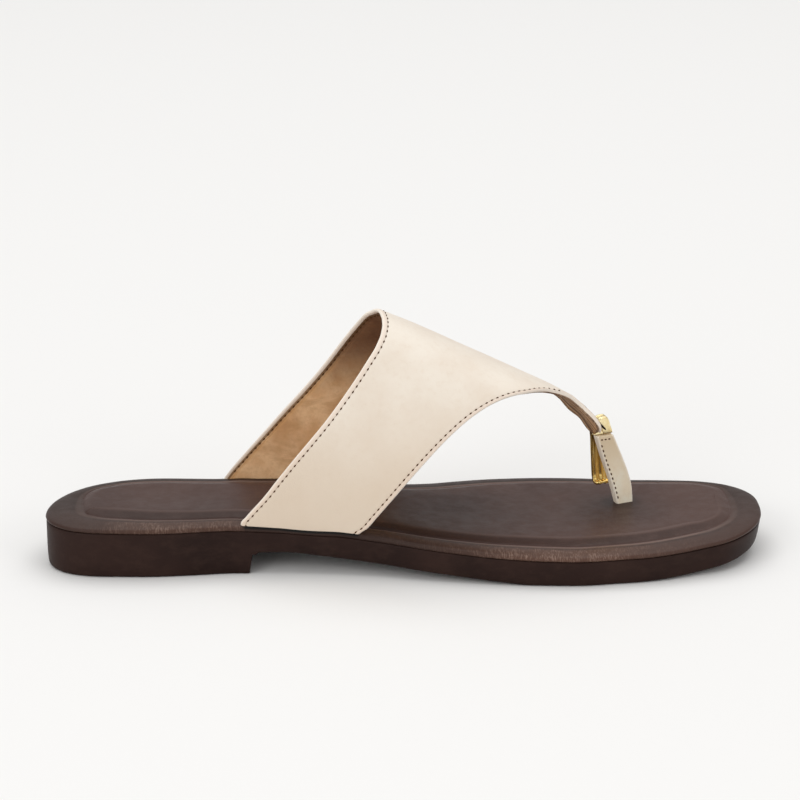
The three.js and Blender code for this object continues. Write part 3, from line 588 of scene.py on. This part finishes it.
# rungs across the strap from its lateral end over the ridge to its medial end: x and share of the
# arch at the rear cut edge, then at the front one
STRAP = [
    (69.8, -1.04, 108.6, -1.04),
    (69.4, -1, 111.4, -1),
    (71.6, -0.985, 114.2, -0.985),
    (77.2, -0.95, 117.9, -0.95),
    (83.2, -0.9, 122.6, -0.9),
    (93.2, -0.8, 131, -0.8),
    (101.2, -0.7, 142.1, -0.65),
    (108.8, -0.57, 153.1, -0.49),
    (114.1, -0.45, 164.2, -0.33),
    (118.2, -0.33, 173, -0.215),
    (120.2, -0.23, 181, -0.13),
    (120.9, -0.14, 188, -0.103),
    (120.9, -0.08, 195, -0.071),
    (120.6, -0.04, 200.5, -0.071),
    (120.3, 0, 201.2, -0.045),
    (119.9, 0.04, 200.7, 0.02),
    (119.3, 0.08, 196.9, 0.107),
    (118.6, 0.13, 191.5, 0.113),
    (117.3, 0.2, 184.8, 0.149),
    (115.3, 0.27, 176.9, 0.293),
    (112.2, 0.38, 170, 0.44),
    (107.7, 0.5, 161, 0.555),
    (100.7, 0.64, 151, 0.68),
    (91.9, 0.76, 140.5, 0.8),
    (79.3, 0.88, 131, 0.89),
    (71.3, 0.94, 122.5, 0.955),
    (62.2, 1, 114, 1)]
# how far down the foot of the strap runs straight for each share past the arch's end
FOOT_RUN = 40
STRAP_WALL, LEATHER_WALL = 2.1, 1.5
# the lining's edge lies this far in from the leather's, and its face this far inside the leather
LINING_IN, LINING_LAP = 1.2, 0.12
ROWS_PER_RUNG = 10
# how far in from the cut edge, and how far the outer face is sunk there: a round edge, a trough
EDGE_STEPS = np.array([0.0, 0.18, 0.42, 0.75, 1.15, 1.5, 1.7, 1.86, 2.05, 2.4, 3.1])
EDGE_SINK = np.array([0.62, 0.3, 0.13, 0.04, 0.0, 0.04, 0.16, 0.2, 0.13, 0.04, 0.0])
# the back of each layer follows that by a share, up to a depth, and the lining's face by a share
SINK_THROUGH, SINK_LIMIT, LINING_SINK = 0.9, 0.45, 0.35
# where the strap is narrower than this, its edges are narrower too
NARROW = 9.0
MIDDLE_COLUMNS = 34
# stands for any place well away from an edge
FAR_IN = 99
# steps for reading directions on the last, along it and round it, and steps across the strap
LOOK_AHEAD, LOOK_ROUND, ACROSS_STEPS = 0.3, 0.02, 81

last_column = [curve(LAST, column) for column in range(1, 7)]
strap_column = [curve([(i, *row) for i, row in enumerate(STRAP)], column) for column in range(1, 5)]


def on_last(x, arc):
    ridge_z, ridge_y, lateral, medial, base_z, roll = (column(x) for column in last_column)
    angle = np.minimum(np.abs(arc), 1) * np.pi / 2
    out = np.where(arc < 0, -lateral, medial) * np.sin(angle) ** (2 / ARCH_POWER)
    down = ((ridge_z - base_z) * (np.clip(np.cos(angle), 0, None) ** (2 / ARCH_POWER) - 1)
            - FOOT_RUN * np.clip(np.abs(arc) - 1, 0, None))
    roll = np.radians(roll)
    return np.stack([x, ridge_y + out * np.cos(roll) + down * np.sin(roll),
                     ridge_z - out * np.sin(roll) + down * np.cos(roll)], axis=-1)


def strap_place(rung, across):
    rear_x, rear_arc, front_x, front_arc = (column(rung) for column in strap_column)
    return rear_x + (front_x - rear_x) * across, rear_arc + (front_arc - rear_arc) * across


def strap_point(rung, across):
    return on_last(*strap_place(rung, across))


def unit(vectors):
    return vectors / np.linalg.norm(vectors, axis=-1, keepdims=True)


def strap_normal(rung, across):
    """Square to the last, out of the foot."""
    x, arc = strap_place(rung, across)
    ahead = on_last(x + LOOK_AHEAD, arc) - on_last(x - LOOK_AHEAD, arc)
    return unit(np.cross(ahead, on_last(x, arc + LOOK_ROUND) - on_last(x, arc - LOOK_ROUND)))


def length_along(line):
    """How far along a line of points each of them lies."""
    return np.concatenate([[0], np.cumsum(np.linalg.norm(np.diff(line, axis=0), axis=1))])


def across_at(rung, in_from_edge):
    """Shares across the strap so far in from its rear and front edges, and its width there."""
    share = np.linspace(0, 1, ACROSS_STEPS)
    length = length_along(strap_point(np.full(ACROSS_STEPS, float(rung)), share))
    rear = np.interp(in_from_edge, length, share)
    front = np.interp(length[-1] - in_from_edge, length, share)
    return rear, front, length[-1]


def strap_rows(outer_depth, inner_depth, edge_in, edge_sink):
    """One layer of the strap between two depths under its outer face: points, faces and marks."""
    rows = np.arange((len(STRAP) - 1) * ROWS_PER_RUNG + 1) / ROWS_PER_RUNG
    rings, from_edge, row_number = [], [], []
    for rung in rows:
        _, _, width = across_at(rung, 0)
        steps = edge_in + EDGE_STEPS * min(1, width / NARROW)
        rear, front, _ = across_at(rung, steps)
        middle = np.linspace(rear[-1], front[-1], MIDDLE_COLUMNS + 2)[1:-1]
        across = np.concatenate([rear, middle, front[::-1]])
        sink = np.concatenate([edge_sink, np.zeros(MIDDLE_COLUMNS), edge_sink[::-1]])
        rungs = np.full(len(across), float(rung))
        face, square = strap_point(rungs, across), strap_normal(rungs, across)
        outer = face - square * (outer_depth + sink)[:, None]
        inner = face - square * (inner_depth - np.minimum(sink, SINK_LIMIT) * SINK_THROUGH)[:, None]
        rings.append(np.concatenate([outer, inner[::-1]]))
        near_edge = np.minimum(np.interp(across, [*rear, 1], [*steps, FAR_IN]),
                               np.interp(across, [0, *front[::-1]], [FAR_IN, *steps[::-1]]))
        from_edge.append(np.concatenate([near_edge, near_edge[::-1]]))
        row_number.append(np.full(2 * len(across), float(rung)))
    count = len(rings[0])
    faces = [face[::-1] for face in ring_walls(len(rings), count)]
    # the two cut ends
    for start, flip in ((0, False), ((len(rings) - 1) * count, True)):
        for c in range(count // 2 - 1):
            face = (start + c, start + count - 1 - c, start + count - 2 - c, start + c + 1)
            faces.append(face[::-1] if flip else face)
    return np.concatenate(rings), faces, {
        "from_edge": np.concatenate(from_edge), "row_number": np.concatenate(row_number)}


CREAM, LIGHT_CREAM, CREAM_FLECK = srgb(234, 221, 205), srgb(240, 230, 216), srgb(222, 203, 182)
CREAM_LOW_SHADE, TURNED_EDGE = srgb(214, 194, 171), srgb(234, 211, 194)
EDGE_RIM_HIGHLIGHT, TROUGH_SHADE = srgb(252, 243, 230), srgb(128, 98, 68)
cream = Finish("strap_leather", Specular_IOR_Level=0.5, Coat_Roughness=0.3)
patches = cream.noise(16, detail=3, roughness=0.55)
flecks = cream.noise(2.2, detail=3, roughness=0.6)
pores = cream.cells(0.5)
waves = cream.noise(9)
edge = cream.mark("from_edge")
colour = cream.mix(patches.to(0.3, 0.72), CREAM, LIGHT_CREAM)
colour = cream.mix(flecks.to(0.45, 0.8) * 0.25, colour, CREAM_FLECK)
# painted shade: darker and warmer low down on the strap
colour = cream.mix(cream.height().to(24, 74, 0.75, 0.0), colour, CREAM_LOW_SHADE)
colour = cream.mix((1 - edge.to(1.3, 1.7)) * 0.45, colour, TURNED_EDGE)
# painted highlight along the strap's rounded cut edges
colour = cream.mix((1 - edge.to(0.2, 0.5)) * 0.6, colour, EDGE_RIM_HIGHLIGHT)
# painted shade in the sunk trough along the stitches
trough = edge.to(1.6, 1.82) * (1 - edge.to(1.9, 2.1))
cream.set(Base_Color=cream.mix(trough * 0.4, colour, TROUGH_SHADE),
          Roughness=patches.to(0.2, 0.8, 0.44, 0.54),
          Coat_Weight=0.06,
          Normal=cream.bump(pores * 0.3 + flecks * 0.3 + waves * 0.9, deep=0.16, strength=0.5))
points, faces, marks = strap_rows(0.0, LEATHER_WALL, 0.0, EDGE_SINK)
put_together("strap_leather", points, faces, cream, "upper", replaces=["upper"], marks=marks)

TAN, LIGHT_TAN = srgb(230, 180, 130), srgb(252, 210, 162)
TAN_FOLD, TAN_NAP = srgb(182, 128, 78), srgb(196, 146, 100)
LINING_TOP_SHADE, TAN_STRIP, LINING_SEAM = srgb(90, 48, 24), srgb(226, 170, 110), srgb(84, 56, 28)
TIP_SHEEN, PULLED_LINE = srgb(170, 144, 124), srgb(84, 58, 44)
tan = Finish("strap_lining", Roughness=0.75, Specular_IOR_Level=0.3)
nap = tan.noise(9, detail=3, roughness=0.6)
fine = tan.noise(1.2, detail=4, roughness=0.65)
folds = tan.noise(11, detail=4, roughness=0.6, stretch=(0.55, 1, 1.1), distortion=0.8)
colour = tan.mix(nap.to(0.3, 0.7), TAN, LIGHT_TAN)
colour = tan.mix(folds.to(0.46, 0.68) * 0.4, colour, TAN_FOLD)
colour = tan.mix(fine.to(0.4, 0.8) * 0.3, colour, TAN_NAP)
# painted shade: it darkens up under the instep, but less along the turned edge
colour = tan.mix(tan.height().to(46, 76) * 0.92 + nap.to(0.2, 0.8, -0.1, 0.03), colour, LINING_TOP_SHADE)
edge = tan.mark("from_edge")
strip = edge.to(2.1, 2.5) * edge.to(3.2, 4.2, 0.4, 0.0) * (1 - tan.height().to(52, 74))
colour = tan.mix(strip, colour, TAN_STRIP)
colour = tan.mix(edge.to(2.0, 2.3, 0.75, 0.0), colour, LINING_SEAM)
# towards the tip it is greyer, a painted sheen, and pulled into lengthwise lines
ahead = tan.ahead()
towards_tip = ahead.to(28, 42)
line_spot = tan.node("ShaderNodeCombineXYZ", {}, {0: tan.mark("row_number"), 1: ahead * 0.004})
lines = tan.noise(0.16, roughness=0.6, at=line_spot)
colour = tan.mix(towards_tip * 0.4, colour, TIP_SHEEN)
tan.set(Base_Color=tan.mix(towards_tip * lines.to(0.4, 0.6) * 0.85, colour, PULLED_LINE),
        Normal=tan.bump(nap * 0.4 + folds * 0.5 + fine * 0.1, deep=0.9, strength=0.5))
points, faces, marks = strap_rows(
    LEATHER_WALL - LINING_LAP, STRAP_WALL, LINING_IN, EDGE_SINK * LINING_SINK)
put_together("strap_lining", points, faces, tan, "upper", marks=marks)

# -------------------------------- stitching on the strap
# Dark brown thread along both edges, through the turned leather and the lining. Each stitch is a
# short plump length of thread, dipping into its holes at both ends.
STITCH_PITCH, STITCH_LENGTH, STITCH_THICK = 2.4, 1.2, 0.45
STITCH_IN = 1.86
# how deep the seam's two sides lie under the strap's outer face, and which way is out
SEAM_SIDES = {"outer": (0.18, 1), "lining": (STRAP_WALL + 0.02, -1)}
# the seam isn't seen past here: on the outer face it runs under the link, and inside it is covered
LAST_STITCH_X = {"outer": 186, "lining": 160}
SEAM_STEPS = 700
# the seam stops short of the strap's cut ends by this share of a rung's distance
SEAM_SHORT = 0.15
# place along a stitch in lengths, its girth and its lift out of the leather in thicknesses
STITCH_SHAPE = [
    (-0.5, 0.12, -0.45), (-0.42, 0.62, -0.12), (-0.22, 0.95, 0.12), (0, 1.0, 0.2),
    (0.22, 0.95, 0.12), (0.42, 0.62, -0.12), (0.5, 0.12, -0.45)]
STITCH_SIDES = 8
STITCH_FLATTENED = 1.1


def closed(rings):
    """Rings of equal count joined each to the next, the first and the last closed by a face."""
    count = len(rings[0])
    last = (len(rings) - 1) * count
    faces = ring_walls(len(rings), count)
    faces.append(tuple(range(count))[::-1])
    faces.append(tuple(range(last, last + count)))
    return np.concatenate(rings), faces


def joined(parts):
    """One mesh out of several."""
    points, faces, count = [], [], 0
    for more, more_faces in parts:
        points.append(more)
        faces += [tuple(count + i for i in face) for face in more_faces]
        count += len(more)
    return np.concatenate(points), faces


def stitch_row(line, square, pitch, length, thick):
    """Stitches along a line of points, each sunk at its ends; square points out of the leather."""
    along = length_along(line)

    def at(place, values):
        return np.array([np.interp(place, along, values[:, c]) for c in range(3)])

    parts = []
    for k in range(int(along[-1] / pitch)):
        rings = []
        for place, girth, lift in STITCH_SHAPE:
            place = (k + 0.5) * pitch + length * place
            radius = thick * girth / 2
            out = unit(at(place, square))
            side = unit(np.cross(unit(at(place + 0.1, line) - at(place - 0.1, line)), out))
            turns = np.arange(STITCH_SIDES) * (2 * np.pi / STITCH_SIDES)
            rings.append([at(place, line) + out * (thick * lift + radius * np.sin(turn))
                          + side * radius * STITCH_FLATTENED * np.cos(turn) for turn in turns])
        parts.append(closed(rings))
    return parts


THREAD, LIGHT_THREAD = srgb(62, 34, 12), srgb(96, 60, 28)
thread = Finish("strap_thread", Roughness=0.8, Specular_IOR_Level=0.1)
thread.set(Base_Color=thread.mix(thread.noise(0.25, detail=1), THREAD, LIGHT_THREAD))
stitches = []
for edge_number in (0, 1):
    for side, (depth, way) in SEAM_SIDES.items():
        runs = [[]]
        for rung in np.linspace(SEAM_SHORT, len(STRAP) - 1 - SEAM_SHORT, SEAM_STEPS):
            place = np.array([rung]), np.array([across_at(rung, STITCH_IN)[edge_number]])
            spot, out = strap_point(*place)[0], strap_normal(*place)[0]
            if spot[0] < LAST_STITCH_X[side]:
                runs[-1].append((spot - out * depth, out * way))
            elif runs[-1]:
                runs.append([])
        for run in filter(None, runs):
            line, square = (np.array(column) for column in zip(*run))
            stitches += stitch_row(line, square, STITCH_PITCH, STITCH_LENGTH, STITCH_THICK)
put_together("strap_stitches", *joined(stitches), thread, "upper")

# -------------------------------- toe post
# A folded tab of the same leather between the first two toes, stitched along its rear edge and
# across its top. Its foot goes down through the footbed, and the metal link holds its top.
POST_CORNER_X, POST_CORNER_Y, POST_TURN = 206.18, 7.34, math.radians(21.6)
POST_THICK = 3.2
# z, rear and front along the post's plane
POST = [
    (10.6, 2.1, 8.3), (13.2, 1.3, 8.15), (18, -0.1, 7.7), (23.5, -1.9, 6.2), (30, -4.4, 3.6),
    (35, -6.1, 1.4), (39.6, -7.6, -0.6)]
POST_RINGS = [10.6, 12, *np.arange(13, 38.6, 0.8), 38.9, 39.15, 39.35, 39.5, 39.58]
# its head is rounded over from here up, by this much, and its edges all the way
POST_HEAD_Z, POST_HEAD_ROUND, POST_EDGE_ROUND = 38.9, 0.7, 0.6
# points across the near face, and how far from its edges they start
POST_FACE_COLUMNS, POST_FACE_IN = 6, 0.9
# the seam along the rear edge and the one across the top: height, how far in, pitch and length
POST_SEAM_Z, POST_TOP_SEAM_Z, POST_SEAM_IN, POST_TOP_SEAM_IN = (13.8, 37.4), 38, 0.95, 1.7
POST_STITCHES, POST_TOP_STITCHES, POST_STITCH_THICK = (2.0, 1.2), (1.5, 0.95), 0.46
post_rear, post_front = curve(POST, 1), curve(POST, 2)


def by_post(along, deep, z):
    """Points by their place along the post's plane, their depth behind it and their height."""
    along, deep, z = np.broadcast_arrays(*(np.asarray(v, float) for v in (along, deep, z)))
    x = POST_CORNER_X + along * math.cos(POST_TURN) - deep * math.sin(POST_TURN)
    y = POST_CORNER_Y + along * math.sin(POST_TURN) + deep * math.cos(POST_TURN)
    return np.stack([x, y, z], axis=-1)


def soft_section(low, high, near, far, round_off, parts):
    """A rectangle with round corners, from its front corner on the near side."""
    line = []
    rear, front, near, far = low + round_off, high - round_off, near + round_off, far - round_off
    for x, y, start in ((front, near, -90), (front, far, 0), (rear, far, 90), (rear, near, 180)):
        for k in range(parts + 1):
            a = math.radians(start + 90 * k / parts)
            line.append((x + round_off * math.cos(a), y + round_off * math.sin(a)))
    return np.array(line)


rings = []
for z in POST_RINGS:
    up = max(0.0, z - POST_HEAD_Z) / POST_HEAD_ROUND
    trim = POST_HEAD_ROUND * (1 - math.sqrt(1 - up ** 2))
    low, high = float(post_rear(z)) + trim, float(post_front(z)) - trim
    section = soft_section(low, high, trim, POST_THICK - trim, POST_EDGE_ROUND, parts=5)
    columns = np.linspace(low + POST_FACE_IN, high - POST_FACE_IN, POST_FACE_COLUMNS)
    face = np.stack([columns, np.full(POST_FACE_COLUMNS, trim)], axis=1)
    rings.append(by_post(*np.concatenate([section, face]).T, z))
corner = np.tile(np.concatenate([np.ones(len(section)), np.zeros(POST_FACE_COLUMNS)]), len(rings))

TAB, LIGHT_TAB, TAB_FLECK = srgb(252, 236, 208), srgb(255, 246, 224), srgb(232, 208, 176)
TAB_TOP_SHADE, TAB_EDGE_HIGHLIGHT = srgb(206, 182, 148), srgb(255, 246, 234)
tab = Finish("post_leather", Specular_IOR_Level=0.5, Coat_Roughness=0.3)
patches = tab.noise(7, detail=3, roughness=0.55)
flecks = tab.noise(1.6, detail=3, roughness=0.6)
colour = tab.mix(patches.to(0.3, 0.7), TAB, LIGHT_TAB)
# painted shade: darker towards the top, under the strap's tip and the link
colour = tab.mix(tab.height().to(18, 39) * 0.8, colour, TAB_TOP_SHADE)
# painted highlight on the tab's rounded edges
colour = tab.mix(tab.mark("corner") * 0.5, colour, TAB_EDGE_HIGHLIGHT)
tab.set(Base_Color=tab.mix(flecks.to(0.45, 0.8) * 0.3, colour, TAB_FLECK),
        Roughness=patches.to(0.2, 0.8, 0.46, 0.56),
        Coat_Weight=0.05,
        Normal=tab.bump(flecks * 0.4 + patches * 0.6, deep=0.12, strength=0.5))
put_together("post_leather", *closed(rings), tab, "toe_post", replaces=["toe_post"],
             marks={"corner": corner})

rear_z = np.linspace(*POST_SEAM_Z, 60)
top_along = np.linspace(float(post_rear(POST_TOP_SEAM_Z)) + POST_SEAM_IN,
                        float(post_front(POST_TOP_SEAM_Z)) - POST_TOP_SEAM_IN, 20)
outward = by_post(0, 0, 0) - by_post(0, 1, 0)
stitches = []
for line, sizes in ((by_post(post_rear(rear_z) + POST_SEAM_IN, 0.0, rear_z), POST_STITCHES),
                    (by_post(top_along, 0.0, POST_TOP_SEAM_Z), POST_TOP_STITCHES)):
    stitches += stitch_row(line, np.tile(outward, (len(line), 1)), *sizes, POST_STITCH_THICK)
put_together("post_stitches", *joined(stitches), thread, "toe_post")

# -------------------------------- toe link
# A cast, gold-plated metal link. Its rounded head clasps the strap's tip over the toe post, and a
# flat fluted bar comes down behind the post and turns under.

# along the post's plane, z: the head's plate, the cheek beside the strap's tip, the lip under it
HEAD = [
    (-0.7, 40.1), (-0.9, 42), (-1.5, 44.1), (-2.3, 45.7), (-3.5, 46.8), (-5.2, 46.9), (-6.8, 46.4),
    (-7.6, 45.2), (-7.4, 42), (-7, 40.1)]
CHEEK = [
    (-6.5, 44.7), (-7.0, 45.6), (-6.2, 46.4), (-4.9, 46.7), (-3.4, 46.5), (-2.5, 45.2),
    (-1.8, 43.2), (-1.0, 40.8), (-1.3, 40.1), (-4.4, 40.1), (-5.2, 41.4), (-5.8, 43.3)]
LIP = [(-8, 39.9), (-1.6, 39.9), (-1.4, 40.7), (-4.2, 41.7), (-7.8, 40.7)]
HEAD_NEAR, HEAD_FAR, CHEEK_NEAR, LIP_NEAR = 2.2, 3.6, 0.1, 0.5
# how far the cheek and the lip go into the plate behind them
HEAD_LAP = 0.2
CORNER_PARTS = 6
# a plate's rounded edges: depth in from its far or near face, and how far the outline is drawn in
FAR_EDGE = [(0, 0.55), (0.2, 0.2), (0.5, 0)]
NEAR_EDGE = [(0.5, 0), (0.28, 0.07), (0.12, 0.22), (0.03, 0.4), (0, 0.62)]
# shares of the outline inside that, and how far the near face is domed
DOME_SHARES, DOME = (0.6, 0.35), 0.15
# the slit in the cheek that the strap's tip goes into, and its rings: depth behind the cheek's
# face, share of its size
SLIT_MIDDLE, SLIT_TURN, SLIT_LENGTH, SLIT_WIDTH = (-4.9, 42.75), math.radians(-46), 2.9, 0.75
SLIT_RINGS = [(0.4, 1.0), (-0.22, 1.0), (-0.3, 0.8)]
SLIT_POINTS = 24
# depth behind the post's plane, z, place along the plane, half width
BAR_RUN = [
    (1.6, 44.6, -5, 2.2), (3.2, 45.3, -5, 2.4), (5, 44.9, -4.7, 2.8), (6.5, 43.4, -4, 3.3),
    (7.2, 41.1, -3.2, 3.8), (7.4, 38, -2.4, 4), (7.4, 30, -1.9, 4), (7.4, 23, -1.4, 4),
    (7.1, 20.8, -1.2, 4), (6.3, 19.7, -1.1, 4), (5.2, 19.6, -1, 4), (4, 20, -1, 4)]
BAR_THICK, BAR_ROUND, BAR_STATIONS = 1.3, 0.5, 120
# the bar's direction is read this share of a row before and after
BAR_LOOK = 0.05
FLUTES, FLUTE_DEPTH, FLUTE_COLUMNS = 3, 0.3, 25


def rounded_loop(corners, parts):
    """A closed smooth line through the corners of a table."""
    corners = np.array(corners, float)
    line = []
    for i in range(len(corners)):
        a, b, c, d = (corners[(i + k) % len(corners)] for k in (-1, 0, 1, 2))
        for t in np.arange(parts) / parts:
            line.append(0.5 * (2 * b + (c - a) * t + (2 * a - 5 * b + 4 * c - d) * t * t
                               + (3 * b - a - 3 * c + d) * t ** 3))
    return np.array(line)


def rounded_plate(corners, near, far):
    """A plate between two depths, its edges rounded and its near face slightly domed."""
    loop = rounded_loop(corners, CORNER_PARTS)
    centre = loop.mean(axis=0)
    out = loop - centre
    size = np.linalg.norm(out, axis=1, keepdims=True)
    layers = [(centre + out * (size - inset) / size, far - deep) for deep, inset in FAR_EDGE]
    layers += [(centre + out * (size - inset) / size, near + deep) for deep, inset in NEAR_EDGE]
    layers += [(centre + out * share, near - DOME * (1 - share)) for share in DOME_SHARES]
    return closed([by_post(line[:, 0], deep, line[:, 1]) for line, deep in layers])


GOLD, GOLD_SHADE = srgb(250, 234, 188), srgb(240, 216, 158)
gold = Finish("link_gold", Metallic=1.0, Specular_IOR_Level=0.5)
wear = gold.noise(2.5, detail=3, roughness=0.6)
rub = gold.noise(0.3, stretch=(1, 1, 0.15))
gold.set(Base_Color=gold.mix(wear.to(0.3, 0.8), GOLD, GOLD_SHADE),
         Roughness=wear.to(0.3, 0.8, 0.26, 0.36),
         Normal=gold.bump(rub, deep=0.02, strength=0.4))
head = [rounded_plate(HEAD, HEAD_NEAR, HEAD_FAR),
        rounded_plate(CHEEK, CHEEK_NEAR, HEAD_NEAR + HEAD_LAP),
        rounded_plate(LIP, LIP_NEAR, HEAD_NEAR + HEAD_LAP)]
put_together("link_head", *joined(head), gold, "toe_link", replaces=["toe_link"])

slit_shade = Finish(
    "slit_shade", Base_Color=srgb(30, 20, 12), Roughness=0.9, Specular_IOR_Level=0.1)
turn = np.arange(SLIT_POINTS) * math.pi / (SLIT_POINTS / 2)
rings = []
for deep, size in SLIT_RINGS:
    long, wide = SLIT_LENGTH / 2 * size * np.cos(turn), SLIT_WIDTH / 2 * size * np.sin(turn)
    rings.append(by_post(SLIT_MIDDLE[0] + long * math.cos(SLIT_TURN) - wide * math.sin(SLIT_TURN),
                         CHEEK_NEAR + deep,
                         SLIT_MIDDLE[1] + long * math.sin(SLIT_TURN) + wide * math.cos(SLIT_TURN)))
put_together("link_slit", *closed(rings), slit_shade, "toe_link")

run = [curve([(i, *row) for i, row in enumerate(BAR_RUN)], column) for column in range(1, 5)]
rings = []
for at in np.linspace(0, len(BAR_RUN) - 1, BAR_STATIONS):
    deep, z, along, half = (float(column(at)) for column in run)
    before, after = max(at - BAR_LOOK, 0), min(at + BAR_LOOK, len(BAR_RUN) - 1)
    go_deep, go_up = (float(column(after) - column(before)) for column in run[:2])
    go = math.hypot(go_deep, go_up)
    edges = soft_section(-half, half, -BAR_THICK / 2, BAR_THICK / 2, BAR_ROUND, parts=4)
    front, rear = np.split(edges, 2)
    flat = np.linspace(-half + BAR_ROUND, half - BAR_ROUND, FLUTE_COLUMNS)
    flutes = FLUTE_DEPTH * (np.cos(flat / half * FLUTES * math.pi) - 1) / 2
    near_face = np.stack([flat, -BAR_THICK / 2 - flutes], axis=1)
    far_face = np.stack([flat[::-1], BAR_THICK / 2 + flutes[::-1]], axis=1)
    side, face = np.concatenate([near_face, front[1:-1], far_face, rear[1:-1]]).T
    rings.append(by_post(along + side, deep + face * -go_up / go, z + face * go_deep / go))

BAR_GOLD, BAR_GOLD_SHADE, BAR_TOP_SHADE = srgb(236, 206, 132), srgb(214, 176, 98), srgb(82, 56, 26)
bar_gold = Finish("link_bar_gold", Metallic=1.0, Specular_IOR_Level=0.5)
wear = bar_gold.noise(2.5, detail=3, roughness=0.6)
colour = bar_gold.mix(wear.to(0.3, 0.8), BAR_GOLD, BAR_GOLD_SHADE)
# painted shadow and dark reflection: darker towards the top, under the head
bar_gold.set(Base_Color=bar_gold.mix(bar_gold.height().to(24, 41) * 0.85, colour, BAR_TOP_SHADE),
             Roughness=wear.to(0.3, 0.8, 0.14, 0.24))
put_together("link_bar", *closed(rings), bar_gold, "toe_link")

# -------------------------------- floor, light and camera
# A plain pale table under a broad soft light from above and behind, with a weaker one in front on
# each side, seen a little from above. Sizes and places are in metres, from the shoe's middle.
FLOOR_SIZE, FLOOR_Z = 9, -0.0002
# name, place, the spot it faces, width and height, watts
SOFT_BOXES = [
    ("overhead", (0.1, 0.75, 3.0), (0, 0, 0), (3.8, 3.2), 52),
    ("left_fill", (-1.3, -1.6, 1.0), (0, 0, 0.03), (1.4, 1.0), 11.5),
    ("right_fill", (1.2, -1.3, 0.8), (0.05, 0, 0.03), (0.9, 0.7), 3.6)]
ROOM_LIGHT = 0.58
CAMERA_PLACE, CAMERA_TARGET = (-0.0427, -0.96765, 0.36076), (-0.00275, -0.01456, 0.06072)

bpy.ops.mesh.primitive_plane_add(size=FLOOR_SIZE, location=(0, 0, FLOOR_Z))
floor = bpy.context.object
floor.name = "floor"
paper = Finish(
    "floor_paper", Base_Color=(0.88, 0.872, 0.858), Roughness=0.9, Specular_IOR_Level=0.1)
floor.data.materials.append(paper.material)
floor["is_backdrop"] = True


def set_up(name, data, place, target):
    """Puts a lamp or a camera in its place, facing a spot."""
    thing = bpy.data.objects.new(name, data)
    bpy.context.collection.objects.link(thing)
    thing.location = place
    thing.rotation_euler = (Vector(target) - thing.location).to_track_quat("-Z", "Y").to_euler()
    return thing


for name, place, target, (width, height), watts in SOFT_BOXES:
    lamp = bpy.data.lights.new(name, "AREA")
    lamp.shape, lamp.size, lamp.size_y, lamp.energy = "RECTANGLE", width, height, watts
    set_up(name, lamp, place, target)
world = bpy.data.worlds.new("studio")
bpy.context.scene.world = world
world.use_nodes = True
room = world.node_tree.nodes["Background"]
room.inputs["Color"].default_value = (1, 1, 1, 1)
room.inputs["Strength"].default_value = ROOM_LIGHT
bpy.context.scene.view_settings.view_transform = "Standard"

camera_data = bpy.data.cameras.new("camera")
camera_data.lens, camera_data.sensor_width = 126.81, 36
camera_data.clip_start, camera_data.clip_end = 0.05, 30
bpy.context.scene.camera = set_up("camera", camera_data, CAMERA_PLACE, CAMERA_TARGET)

low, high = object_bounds()
